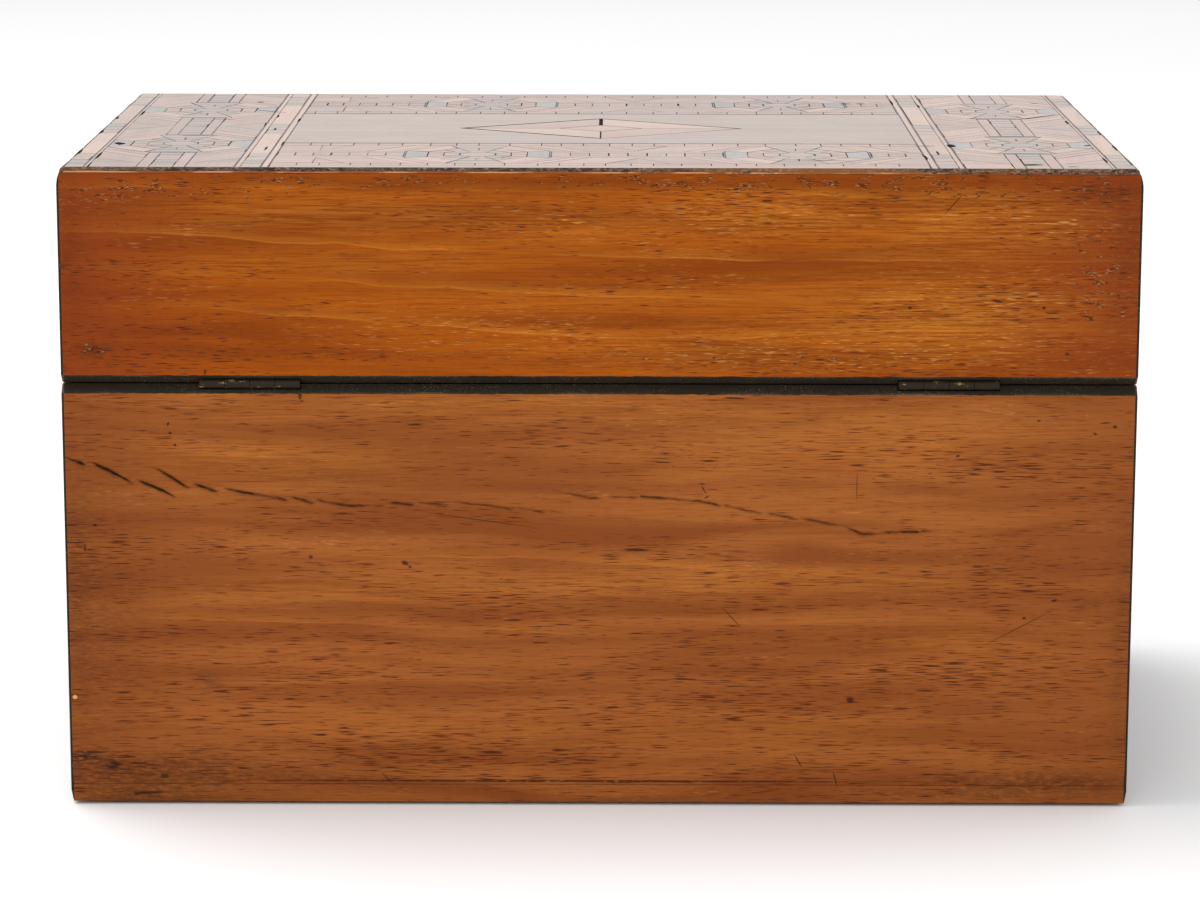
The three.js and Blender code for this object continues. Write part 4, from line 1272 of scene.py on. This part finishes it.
def slab(x0, x1, y0, y1, sizes):
    """The sheet under one field, as a closed height field: a grid over the field's rectangle whose height is
    the worn edge's, and the bed's level where veneers lie. Returns points, faces and each face's finish."""
    at_side = abs(abs(x0) - HALF_WIDTH) < 1e-5 or abs(abs(x1) - HALF_WIDTH) < 1e-5
    left_out, right_out = abs(x0 + HALF_WIDTH) < 1e-5, abs(x1 - HALF_WIDTH) < 1e-5
    front_out, back_out = abs(y0 + HALF_DEPTH) < 1e-5, abs(y1 - HALF_DEPTH) < 1e-5

    def stations(start, stop, low_out, high_out, margin, fine, spacing):
        even = np.linspace(start, stop, max(2, int((stop - start) / spacing)) + 1)
        near = margin * np.array([0.0, 0.03, 0.1, 0.2, 0.35, 0.5, 0.7, 0.85, 0.995, 1.005])
        extra = []
        if low_out:
            extra.append(start + near)
        if high_out:
            extra.append(stop - near)
        all_of = np.unique(np.concatenate([even] + extra))
        keep = np.concatenate([[True], np.diff(all_of) > 1e-6])
        return all_of[keep]

    xs = stations(x0, x1, left_out, right_out, EDGE_MARGIN, at_side, 2.0 * MM if front_out or back_out else 6 * MM)
    ys = stations(y0, y1, front_out, back_out, STRIP_TO_EDGE, at_side, 1.5 * MM if at_side else 6 * MM)
    gx, gy = np.meshgrid(xs, ys, indexing="ij")
    in_margin = (HALF_WIDTH - np.abs(gx) < EDGE_MARGIN) | (HALF_DEPTH - np.abs(gy) < STRIP_TO_EDGE)
    top = TOP_Z - np.where(in_margin, edge_drop(gx, gy, sizes), sizes.bed)
    under = np.full_like(top, SHEET_Z)
    chips = np.clip(ripple(gx + gy, 83, 0.011, 0.6) + ripple(gx - gy, 84, 0.005, 0.6), 0, None) * 0.6 * MM
    for place, deep, wide in BACK_CHIPS:
        chips = np.maximum(chips, deep * np.exp(-((gx - place) / wide) ** 2) * (gy > 0))
    bite_y = chips * np.clip(1 - (HALF_DEPTH - np.abs(gy)) / STRIP_TO_EDGE, 0, 1)
    bite_x = (LID_LEAN + chips) * np.clip(1 - (HALF_WIDTH - np.abs(gx)) / EDGE_MARGIN, 0, 1)
    px = gx - np.sign(gx) * bite_x
    py = gy - np.sign(gy) * bite_y
    points = np.concatenate([np.stack([px, py, top], -1).reshape(-1, 3), np.stack([px, py, under], -1).reshape(-1, 3)])
    nx, ny = len(xs), len(ys)
    index = np.arange(nx * ny).reshape(nx, ny)
    low_index = index + nx * ny
    upper = np.stack([index[:-1, :-1], index[1:, :-1], index[1:, 1:], index[:-1, 1:]], -1).reshape(-1, 4)
    lower = np.stack([low_index[:-1, :-1], low_index[:-1, 1:], low_index[1:, 1:], low_index[1:, :-1]], -1).reshape(-1, 4)
    rim = np.concatenate([index[:-1, 0], index[-1, :-1], index[:0:-1, -1], index[0, :0:-1]])
    ahead = np.roll(rim, -1)
    walls = np.stack([rim + nx * ny, ahead + nx * ny, ahead, rim], -1)
    middle = points[upper].mean(1)
    lipped = (HALF_WIDTH - np.abs(middle[:, 0]) < EDGE_MARGIN) | (HALF_DEPTH - np.abs(middle[:, 1]) < STRIP_TO_EDGE)
    beside = HALF_WIDTH - np.abs(middle[:, 0]) < EDGE_MARGIN
    row = np.tile(np.arange(ny - 1), nx - 1)
    lowest = (row == 0) & front_out | (row == ny - 2) & back_out
    rolled = TOP_Z - middle[:, 2] > 0.3 * MM
    upper_finish = np.where(beside, np.where(rolled, 2, 3), np.where(lowest, 4, np.where(lipped, 2, 0)))
    finish = np.concatenate([upper_finish, np.zeros(len(lower), int), np.full(len(walls), 5)])
    return points, [upper, lower, walls], finish


def field_piece(name, node, veneers, sizes, slab_part=None):
    """One field of the inlay: its slab and its veneers in one mesh."""
    slab_points, slab_faces, slab_finish = slab_part
    points, faces, tones, turns = veneer_pieces(veneers, sizes)
    joined = np.concatenate([slab_points, points])
    moved = [group + len(slab_points) for group in faces]
    all_faces = slab_faces + moved
    counts = [group.shape[1] for group in moved for _ in range(len(group))]
    finish_of = np.concatenate([slab_finish, (tones[:, 3] > 0.5).astype(int)])
    slab_corners = sum(group.size for group in slab_faces)
    corner_tone = np.concatenate([np.ones((slab_corners, 4)), np.repeat(tones, counts, 0)])
    corner_turn = np.concatenate([np.zeros(slab_corners), np.repeat(turns, counts)])
    values = {
        "wood_colour": ("FLOAT_COLOR", "CORNER", corner_tone),
        "grain_turn": ("FLOAT", "CORNER", corner_turn),
        "wear": ("FLOAT", "POINT", (joined[:, 2] > SHEET_Z + 0.2 * MM) * 1.0),
        "glow_zone": ("FLOAT", "POINT", zone_values(joined[:, 0], joined[:, 2], LIPPING_GLOW)),
        "dull_zone": ("FLOAT", "POINT", zone_values(joined[:, 0], joined[:, 2], DULL_EDGE)),
    }
    names = ["glue", "inlay woods", "ebonised lipping", "worn side edge", "pale edge", "lid back wood"]
    return make_piece(name, joined, all_faces, names, "lid", [node], finish_of, values, 25.0)


def octagon(reach):
    """Corners of a regular octagon whose flat sides are at reach; side i faces i eighths of a turn."""
    angle = (np.arange(8) - 0.5) * math.pi / 4
    return reach / math.cos(math.pi / 8) * np.stack([np.cos(angle), np.sin(angle)], 1)


def strip_place(points, middle, across, along_y):
    """Points given along and across a strip, in plan."""
    points = np.asarray(points, float)
    if along_y:
        return np.stack([across - points[:, 1], middle + points[:, 0]], 1)
    return np.stack([middle + points[:, 0], across + points[:, 1]], 1)


def medallion(veneers, middle, across, along_y):
    """An octagonal medallion: a ring of eight pieces round two rings of small pieces and a small octagon."""
    reaches = (MEDALLION, MEDALLION - RING, MEDALLION - RING - 4.6 * MM, MEDALLION - RING - 9.2 * MM)
    corners = [octagon(reach) for reach in reaches]
    base_turn = math.pi / 2 if along_y else 0.0
    for i in range(8):
        j = (i + 1) % 8
        ring = [corners[0][i], corners[0][j], corners[1][j], corners[1][i]]
        sideways = (i % 4 == 0) != along_y
        wood = "peach" if i % 2 else ("blue_grey" if sideways else "lilac")
        turn = base_turn + i * math.pi / 4
        veneers.add(strip_place(ring, middle, across, along_y), wood, -turn + math.pi / 2)
        outer, inner = corners[1], corners[2]
        for k in range(2):
            a0, a1 = k / 2, (k + 1) / 2
            quad = [
                outer[i] + (outer[j] - outer[i]) * a0, outer[i] + (outer[j] - outer[i]) * a1,
                inner[i] + (inner[j] - inner[i]) * a1, inner[i] + (inner[j] - inner[i]) * a0,
            ]
            veneers.add(strip_place(quad, middle, across, along_y), ("tan", "pink")[k], -turn)
        outer, inner = corners[2], corners[3]
        quad = [outer[i], outer[j], inner[j], inner[i]]
        veneers.add(strip_place(quad, middle, across, along_y), ("pink", "grey")[i % 2], -turn)
    veneers.add(strip_place(corners[3], middle, across, along_y), "lilac", 0.3)


def quarter_field(veneers, middle, across, along_y, ahead, side, reach, half_way):
    """The ground between a medallion and the half-way point of the bar beside it: a piece against the
    medallion's slanting side, a slanting pale strip, the ground, and half a triangle on the strip's edge."""
    root = math.sqrt(2)
    near_bar, near_edge = root * SLANT_NEAR - BAR_HALF, root * SLANT_NEAR - MEDALLION
    far_bar, far_edge = root * SLANT_FAR - BAR_HALF, root * SLANT_FAR - MEDALLION
    corner = MEDALLION * math.tan(math.pi / 8)
    grain = math.pi / 2 if along_y else 0.0

    def add(points, wood, turn, line=None):
        points = np.array(points) * (ahead, side)
        veneers.add(strip_place(points, middle, across, along_y), wood, turn, line)

    add([(MEDALLION, BAR_HALF), (near_bar, BAR_HALF), (near_edge, MEDALLION), (corner, MEDALLION), (MEDALLION, corner)], "pink", grain)
    add([(near_bar, BAR_HALF), (far_bar, BAR_HALF), (far_edge, MEDALLION), (near_edge, MEDALLION)], "peach", grain + ahead * side * math.pi / 4)
    if reach < half_way:
        add([(far_bar, BAR_HALF), (reach, BAR_HALF), (reach, MEDALLION), (far_edge, MEDALLION)], "pink", grain)
        return
    peak = MEDALLION - TRIANGLE_HEIGHT
    foot = half_way - TRIANGLE_HALF
    ground = [(far_bar, BAR_HALF), (half_way, BAR_HALF), (half_way, peak), (foot, MEDALLION), (far_edge, MEDALLION)]
    add(ground, "pink", grain, [math.nan, 0, math.nan, math.nan, math.nan])
    add([(foot, MEDALLION), (half_way, peak), (half_way, MEDALLION)], "tan", grain + math.pi / 2, [math.nan, 0, math.nan])
    if reach - half_way > 0.5 * MM:
        add([(half_way, BAR_HALF), (reach, BAR_HALF), (reach, MEDALLION), (half_way, MEDALLION)], "pink", grain)


def ladder_bar(veneers, start, stop, across, along_y, cap_start, cap_stop):
    """A bar between two medallions: a dark cap at each closed end, two rails each side, and rungs between."""
    cap = (1.2 if along_y else 0.55) * MM
    grain = math.pi / 2 if along_y else 0.0

    def add(u0, u1, v0, v1, wood, turn):
        if u1 - u0 > 0.3 * MM:
            points = [(u0, v0), (u1, v0), (u1, v1), (u0, v1)]
            veneers.add(strip_place(points, 0.0, across, along_y), wood, turn)

    inner_start = start + (cap if cap_start else 0)
    inner_stop = stop - (cap if cap_stop else 0)
    if cap_start:
        add(start, inner_start, -BAR_HALF, BAR_HALF, "glue", grain + math.pi / 2)
    if cap_stop:
        add(inner_stop, stop, -BAR_HALF, BAR_HALF, "glue", grain + math.pi / 2)
    for v0, v1, wood in ((-BAR_HALF, -RAIL, "pink"), (RAIL, BAR_HALF, "pink")):
        add(inner_start, inner_stop, v0, v1, wood, grain)
    rungs = max(1, round((inner_stop - inner_start) / (5.4 * MM)))
    marks = np.linspace(inner_start, inner_stop, rungs + 1)
    for i in range(rungs):
        add(marks[i], marks[i + 1], -RAIL, RAIL, ("grey", "tan", "pink")[i % 3], grain + math.pi / 2)


def pattern_strip(veneers, medallions, start, stop, across, along_y):
    """The repeating strip: medallions joined by ladder bars, with slanting strips and triangles beside them."""
    half_way = (medallions[1] - medallions[0]) / 2
    reaches = ((medallions[0] - start, half_way), (half_way, stop - medallions[1]))
    for middle, (before, after) in zip(medallions, reaches):
        medallion(veneers, middle, across, along_y)
        for ahead, reach in ((-1, before), (1, after)):
            for side in (-1, 1):
                quarter_field(veneers, middle, across, along_y, ahead, side, reach, half_way)
    ladder_bar(veneers, start, medallions[0] - MEDALLION, across, along_y, False, True)
    ladder_bar(veneers, medallions[0] + MEDALLION, medallions[1] - MEDALLION, across, along_y, True, True)
    ladder_bar(veneers, medallions[1] + MEDALLION, stop, across, along_y, True, False)


BAND_BLOCKS = (
    (-84.0, "pink"), (-76.0, "grey"), (-68.4, "tan"), (-61.0, "grey"), (-9.5, "peach"), (-1.7, "grey"),
    (5.8, "pink"), (14.5, "grey"), (64.0, "peach"), (71.5, "grey"), (79.0, "pink"), (87.0, "grey"), (96.0, "tan"),
)


def banding(veneers, columns, low_y, high_y, flip):
    """A banding that runs the full depth: each column is (from, to, wood or None for blocks)."""
    for x0, x1, wood in columns:
        x0, x1 = sorted((flip * x0, flip * x1))
        if wood is not None:
            veneers.block(x0, x1, low_y, high_y, wood, math.pi / 2, 0.12 * MM)
            continue
        start = low_y
        for end, block_wood in BAND_BLOCKS:
            stop = min(end * MM, high_y)
            if stop > start:
                veneers.block(x0, x1, start, stop, block_wood, 0.0 if block_wood == "grey" else math.pi / 2)
                start = stop


# Dark chips in the top: place in millimetres, half length, half width, turn in degrees
CHIPS = (
    (141.1, 40.7, 1.5, 3.4, 20), (-102.8, 42.5, 1.3, 4.2, 0), (-78.0, -68.6, 1.6, 1.3, 10), (-122.2, 86.5, 2.8, 1.6, 0),
    (-83.0, -68.9, 1.4, 0.8, 0), (-133.2, 90.6, 1.6, 0.6, 0), (109.5, -70.5, 1.0, 1.2, 0),
    (-135.6, -32.2, 9.0, 0.55, 46), (104.0, -44.0, 6.5, 0.4, -36),
    (-139.0, -71.0, 1.2, 0.6, 20), (97.2, 52.0, 0.35, 5.0, 0), (100.6, -30.0, 0.4, 4.0, 0), (93.3, 40.0, 0.3, 6.0, 0),
    (98.6, 4.0, 0.4, 3.0, 0), (93.2, -20.0, 0.4, 5.5, 0), (-93.2, 71.0, 0.45, 6.0, 0), (-95.0, 43.0, 3.0, 0.5, 0),
    (-97.5, 60.0, 0.35, 5.0, 0), (-101.0, -62.0, 0.4, 5.0, 0), (-93.1, -72.0, 0.4, 9.0, 0), (-142.9, 41.0, 1.6, 0.8, 50),
    (-143.5, -18.0, 0.5, 4.5, 0), (-150.2, 47.0, 0.4, 7.0, 0), (-150.1, 10.0, 0.35, 5.0, 0), (150.2, 12.0, 0.5, 6.0, 0),
    (150.1, -25.0, 0.5, 4.0, 0), (150.2, 62.0, 0.5, 8.0, 0), (143.6, 70.0, 0.45, 9.0, 0), (143.7, -38.0, 0.4, 8.0, 0),
    (-143.8, 76.0, 0.4, 7.0, 0), (116.5, -22.5, 3.4, 0.45, 0), (119.6, 20.8, 5.5, 0.35, 0), (-121.0, -27.9, 8.0, 0.4, 0),
    (-123.0, 20.4, 8.5, 0.35, 0), (-120.0, 60.6, 8.0, 0.3, 0), (120.0, 61.0, 8.0, 0.35, 0), (-64.0, 77.5, 8.5, 0.35, -8),
)


def add_chips(veneers, low, high):
    """Five-cornered dark chips, wide at one end, whose middles lie in the field between two corners."""
    for place_x, place_y, long, wide, turn in CHIPS:
        if not (low[0] < place_x * MM < high[0] and low[1] < place_y * MM < high[1]):
            continue
        corners = np.array([(-long, -wide * 0.25), (-0.2 * long, -wide), (long, -wide * 0.6), (0.7 * long, wide), (-long, wide * 0.4)])
        angle = math.radians(turn)
        turned = np.array([(math.cos(angle), math.sin(angle)), (-math.sin(angle), math.cos(angle))])
        veneers.add((corners @ turned + (place_x, place_y)) * MM, "chip", 0.0, CHIP_LINE)


def tick_row(veneers, x0, x1, y0, y1):
    """A narrow row of pale blocks between thin cross lines, unevenly spaced."""
    steps = veneers.rng.uniform(5.6, 9.4, 40) * MM
    cuts = x0 + np.concatenate([[0], np.cumsum(steps)])
    cuts = np.append(cuts[cuts < x1 - 3 * MM], x1)
    for a, b in zip(cuts[:-1], cuts[1:]):
        veneers.block(a, b, y0, y1, "pink", 0.0, 0.28 * MM)


class InlayOperator(bpy.types.Operator):
    """Makes the inlaid lid: bandings, patterned panels and bands, the plain centre and its lozenge"""

    bl_idname = "tunbridge.inlay"
    bl_label = "Inlay"

    def execute(self, context):
        sizes, colours = context.scene.tunbridge_sizes, context.scene.tunbridge_colours
        low_y, high_y = -HALF_DEPTH + STRIP_TO_EDGE, HALF_DEPTH - STRIP_TO_EDGE
        seed = 200

        def start_field(shade=1.0):
            nonlocal seed
            seed += 1
            return Veneers(colours, seed, shade)

        def close_field(node, veneers):
            low, high = span(node)
            add_chips(veneers, low, high)
            part = slab(low[0], high[0], low[1], high[1], sizes)
            field_piece(node.replace("inlay_", "marquetry_"), node, veneers, sizes, part)

        for word, flip in (("left", -1), ("right", 1)):
            low, high = span(f"inlay_{word}_edge_band")
            outer, inner = HALF_WIDTH - EDGE_MARGIN, min(abs(low[0]), abs(high[0]))
            veneers = start_field()
            banding(veneers, (
                (outer, inner + 1.12 * MM, None), (inner + 1.12 * MM, inner + 0.75 * MM, "glue"),
                (inner + 0.75 * MM, inner, "peach"),
            ), low_y, high_y, flip)
            close_field(f"inlay_{word}_edge_band", veneers)

            low, high = span(f"inlay_{word}_panel")
            # The right (+X) panel's woods are darkened to 0.84 of their tone: painted shade on that end of the top.
            veneers = start_field(0.84 if word == "right" else 1.0)
            across = (low[0] + high[0]) / 2
            pattern_strip(veneers, END_MEDALLIONS, low_y, high_y, across, True)
            close_field(f"inlay_{word}_panel", veneers)

            low, high = span(f"inlay_{word}_cross_band")
            outer, inner = max(abs(low[0]), abs(high[0])), min(abs(low[0]), abs(high[0]))
            veneers = start_field()
            banding(veneers, (
                (outer, outer - 0.32 * MM, "glue"), (outer - 0.32 * MM, outer - 1.6 * MM, "peach"),
                (outer - 1.6 * MM, inner + 2.27 * MM, None), (inner + 2.27 * MM, inner + 1.9 * MM, "glue"),
                (inner + 1.9 * MM, inner + 0.3 * MM, "peach"), (inner + 0.3 * MM, inner, "glue"),
            ), low_y, high_y, flip)
            close_field(f"inlay_{word}_cross_band", veneers)

        for word, flip in (("front", -1), ("back", 1)):
            low, high = span(f"inlay_{word}_band")
            near = min(abs(low[1]), abs(high[1]))
            veneers = start_field(0.86 if word == "front" else 1.0)
            across = flip * (near + TICK_ROW + MEDALLION)
            pattern_strip(veneers, BAND_MEDALLIONS, low[0], high[0], across, False)
            rows = (
                (near, near + TICK_ROW), (near + TICK_ROW + 2 * MEDALLION, near + 2 * TICK_ROW + 2 * MEDALLION - 0.6 * MM),
            )
            for row in rows:
                y0, y1 = sorted((flip * row[0], flip * min(row[1], high_y)))
                tick_row(veneers, low[0], high[0], y0, y1)
            y0, y1 = sorted((flip * rows[1][1], flip * high_y))
            veneers.block(low[0], high[0], y0, y1, "pink")
            close_field(f"inlay_{word}_band", veneers)

        self.centre(sizes, colours, start_field)
        return {"FINISHED"}

    def centre(self, sizes, colours, start_field):
        """The plain panel in two halves round the lozenge, and the lozenge's four facets and middle."""
        low, high = span("inlay_centre_panel")
        outer_low, outer_high = span("inlay_lozenge_back_left")
        inner_low, inner_high = span("inlay_lozenge_centre")
        wide, deep = abs(outer_low[0]), outer_high[1]
        small_wide, small_deep = inner_high[0], inner_high[1]
        veneers = start_field()
        gap = sizes.outline
        for side in (1, -1):
            outline = [
                (low[0], 0), (-wide, 0), (0, side * deep), (wide, 0), (high[0], 0),
                (high[0], side * high[1]), (low[0], side * high[1]),
            ]
            veneers.add(outline, "centre", 0.0, np.array([0, 0.3, 0.3, 0, 0.1, 1.5, 0.1]) * MM, 1.0)
        plate = slab(low[0], high[0], low[1], high[1], sizes)
        field_piece("marquetry_centre_panel", "inlay_centre_panel", veneers, sizes, plate)
        facets = {"front_left": (-1, -1), "front_right": (1, -1), "back_right": (1, 1), "back_left": (-1, 1)}
        for name, (sx, sy) in facets.items():
            corners = np.array([(sx * wide, 0), (0, sy * deep), (0, sy * small_deep), (sx * small_wide, 0)])
            veneers = start_field()
            slanting = gap * (2.6 if sx > 0 else (2.0 if sy < 0 else 0.9))
            upright = gap * (1.5 if sy < 0 else 0.55)
            joints = np.array([slanting, upright, gap * 0.7, gap * (0.5 if sx > 0 else 0.3)])
            veneers.add(corners, "peach" if sx * sy > 0 else "pink", math.atan2(sx * sy * deep, wide), joints)
            self.loose(f"marquetry_lozenge_{name}", f"inlay_lozenge_{name}", veneers, corners, sizes)
        corners = np.array([(-small_wide, 0), (0, -small_deep), (small_wide, 0), (0, small_deep)])
        veneers = start_field()
        veneers.add(corners, "peach", 0.0, gap * 0.5)
        self.loose("marquetry_lozenge_centre", "inlay_lozenge_centre", veneers, corners, sizes)

    def loose(self, name, node, veneers, corners, sizes):
        """A facet of the lozenge: its veneer over a thin dark bed of its own outline."""
        points, faces, tones, turns = veneer_pieces(veneers, sizes)
        count = len(corners)
        bed_top = np.concatenate([corners, np.full((count, 1), TOP_Z - sizes.bed * 0.8)], 1)
        bed_under = np.concatenate([corners, np.full((count, 1), SHEET_Z)], 1)
        area = np.cross(corners - corners[0], np.roll(corners, -1, 0) - corners[0]).sum()
        bed_points = np.concatenate([bed_top, bed_under])
        ring = np.arange(count)
        if area < 0:
            ring = ring[::-1]
        ahead = np.roll(ring, -1)
        bed_faces = [ring[None], (ring + count)[::-1][None], np.stack([ring + count, ahead + count, ahead, ring], -1)]
        joined = np.concatenate([bed_points, points])
        moved = [group + len(bed_points) for group in faces]
        counts = [group.shape[1] for group in moved for _ in range(len(group))]
        bed_corners = sum(group.size for group in bed_faces)
        finish_of = np.concatenate([np.zeros(2 + count, int), np.ones(len(counts), int)])
        values = {
            "wood_colour": ("FLOAT_COLOR", "CORNER", np.concatenate([np.ones((bed_corners, 4)), np.repeat(tones, counts, 0)])),
            "grain_turn": ("FLOAT", "CORNER", np.concatenate([np.zeros(bed_corners), np.repeat(turns, counts)])),
        }
        make_piece(name, joined, bed_faces + moved, ["glue", "inlay woods"], "lid", [node], finish_of, values, 25.0)


# Feet and hinges

class FeetOperator(bpy.types.Operator):
    """Makes the four low turned studs under the base"""

    bl_idname = "tunbridge.feet"
    bl_label = "Feet"

    def execute(self, context):
        for row in ("front", "back"):
            for column in ("left", "right"):
                node = f"foot_{row}_{column}"
                low, high = span(node)
                middle, radius, tall = (low + high) / 2, (high[0] - low[0]) / 2, high[2] - low[2]
                turn = np.linspace(-math.pi / 2, 0.35, 9)
                swell = radius * (0.72 + 0.28 * np.cos(turn)) - 0.05 * MM
                height = low[2] + tall * (np.sin(turn) + 1) / (math.sin(0.35) + 1)
                profile = np.stack([np.append(0.45 * radius, swell), np.append(low[2], height) - low[2]], 1)
                profile[0, 1], profile[1, 1] = 0.0, 0.02 * MM
                points, faces = turned_piece(profile, (middle[0], middle[1], low[2]), 28)
                make_piece(f"stud_{row}_{column}", points, faces, ["foot wood"], "base", [node], None,
                           {"wear": ("FLOAT", "POINT", np.repeat(np.linspace(0.8, 0, len(profile)), 28))})
        return {"FINISHED"}


def merged_copy(mesh):
    """Points and triangles of a mesh of loose triangles, with the points that lie on one another made one."""
    places = np.empty(3 * len(mesh.vertices), np.float32)
    mesh.vertices.foreach_get("co", places)
    corners = np.empty(len(mesh.loops), np.int32)
    mesh.loops.foreach_get("vertex_index", corners)
    places = places.reshape(-1, 3).astype(float)
    steps = np.round(places / (0.001 * MM))
    _, first, merged = np.unique(steps, axis=0, return_index=True, return_inverse=True)
    return places[first], merged.ravel()[corners].reshape(-1, 3)


class HingesOperator(bpy.types.Operator):
    """Makes the hinge leaves, pins and screws: merged copies of their CAD shapes, with softened edges"""

    bl_idname = "tunbridge.hinges"
    bl_label = "Hinges"

    def execute(self, context):
        for node in [name for name in frame["nodes"] if name.startswith("hinge_")]:
            points, triangles = merged_copy(frame["nodes"][node].data)
            _, side, rest = node.split("_", 2)
            finish, slot = ("screw iron", "screw_steel") if "screw" in rest else ("hinge brass", "hinge_brass")
            body = "lid" if rest.startswith("lid") else "base"
            piece = make_piece(f"{side}_hinge_{rest}", points, [triangles], [finish], body, [node], angle=20.0)
            soften = piece.modifiers.new("soften", "BEVEL")
            soften.width = context.scene.tunbridge_sizes.leaf_soft
            soften.segments = 2
            soften.limit_method = "ANGLE"
            soften.angle_limit = math.radians(50)
            soften.harden_normals = True
        return {"FINISHED"}


# Stage

# Name, place, what it points at, width, height and power of each light
LIGHTS = (
    ("key", (0.7, -0.35, 2.0), (0.0, 0.0, 0.0), 1.5, 1.3, 27.0),
    ("far_panel", (0.0, -2.6, 0.95), (0.0, 0.0, 0.15), 3.2, 1.5, 3.5),
    ("near_fill", (0.3, 2.4, 1.5), (0.0, 0.0, 0.1), 1.6, 1.0, 12.0),
)
SKY = 0.8  # even white light from all around


class StageOperator(bpy.types.Operator):
    """Makes the plain pale floor, the soft lights and the camera"""

    bl_idname = "tunbridge.stage"
    bl_label = "Stage"

    def execute(self, context):
        scene = context.scene
        half = 14.0
        corners = [(-half, -half, 0), (half, -half, 0), (half, half, 0), (-half, half, 0)]
        mesh = bpy.data.meshes.new("floor")
        mesh.from_pydata(corners, [], [(0, 1, 2, 3)])
        tree, shader = new_material("pale floor")
        shader.inputs["Base Color"].default_value = (0.93, 0.93, 0.93, 1)
        shader.inputs["Roughness"].default_value = 0.9
        shader.inputs["Specular IOR Level"].default_value = 0.0
        mesh.materials.append(bpy.data.materials["pale floor"])
        floor = bpy.data.objects.new("floor", mesh)
        scene.collection.objects.link(floor)
        world = bpy.data.worlds.new("studio")
        world.use_nodes = True
        world.node_tree.nodes["Background"].inputs[0].default_value = (1, 1, 1, 1)
        world.node_tree.nodes["Background"].inputs[1].default_value = SKY
        scene.world = world
        for name, place, aim, wide, tall, power in LIGHTS:
            lamp = bpy.data.lights.new(name, "AREA")
            lamp.shape = "RECTANGLE"
            lamp.size, lamp.size_y, lamp.energy = wide, tall, power
            light = bpy.data.objects.new(name, lamp)
            scene.collection.objects.link(light)
            away = np.array(aim) - np.array(place)
            light.location = place
            light.rotation_euler = Vector(away).to_track_quat("-Z", "Y").to_euler()
            light.visible_camera = False
        camera = bpy.data.objects.new("camera", bpy.data.cameras.new("camera"))
        camera.data.lens = CAMERA_LENS
        camera.data.sensor_width = SENSOR
        camera.data.sensor_fit = "HORIZONTAL"
        camera.data.clip_start, camera.data.clip_end = 0.05, 60
        camera.location = CAMERA_PLACE
        camera.rotation_euler = [math.radians(part) for part in CAMERA_TURN]
        scene.collection.objects.link(camera)
        scene.camera = camera
        scene.view_settings.view_transform = "Standard"
        return {"FINISHED"}


STEPS = (
    FinishOperator, BackBoardsOperator, PlainBoardsOperator, VeneersOperator, InlayOperator, FeetOperator,
    HingesOperator, StageOperator,
)


class TunbridgePanel(bpy.types.Panel):
    """Sizes, colours and steps of the box"""

    bl_idname = "VIEW3D_PT_tunbridge"
    bl_label = "Tunbridge box"
    bl_space_type = "VIEW_3D"
    bl_region_type = "UI"
    bl_category = "Tunbridge Box"

    def draw(self, context):
        for group in (context.scene.tunbridge_sizes, context.scene.tunbridge_colours):
            column = self.layout.column(align=True)
            for key in group.__annotations__:
                column.prop(group, key)
        for step in STEPS:
            self.layout.operator(step.bl_idname)


CLASSES = (TunbridgeSizes, TunbridgeColours, *STEPS, TunbridgePanel)


def register():
    for cls in CLASSES:
        bpy.utils.register_class(cls)
    bpy.types.Scene.tunbridge_sizes = bpy.props.PointerProperty(type=TunbridgeSizes)
    bpy.types.Scene.tunbridge_colours = bpy.props.PointerProperty(type=TunbridgeColours)


def unregister():
    del bpy.types.Scene.tunbridge_colours
    del bpy.types.Scene.tunbridge_sizes
    for cls in reversed(CLASSES):
        bpy.utils.unregister_class(cls)


def main():
    """Builds everything in order."""
    register()
    for step in STEPS:
        group, _, name = step.bl_idname.partition(".")
        getattr(getattr(bpy.ops, group), name)()


if __name__ == "__main__":
    main()
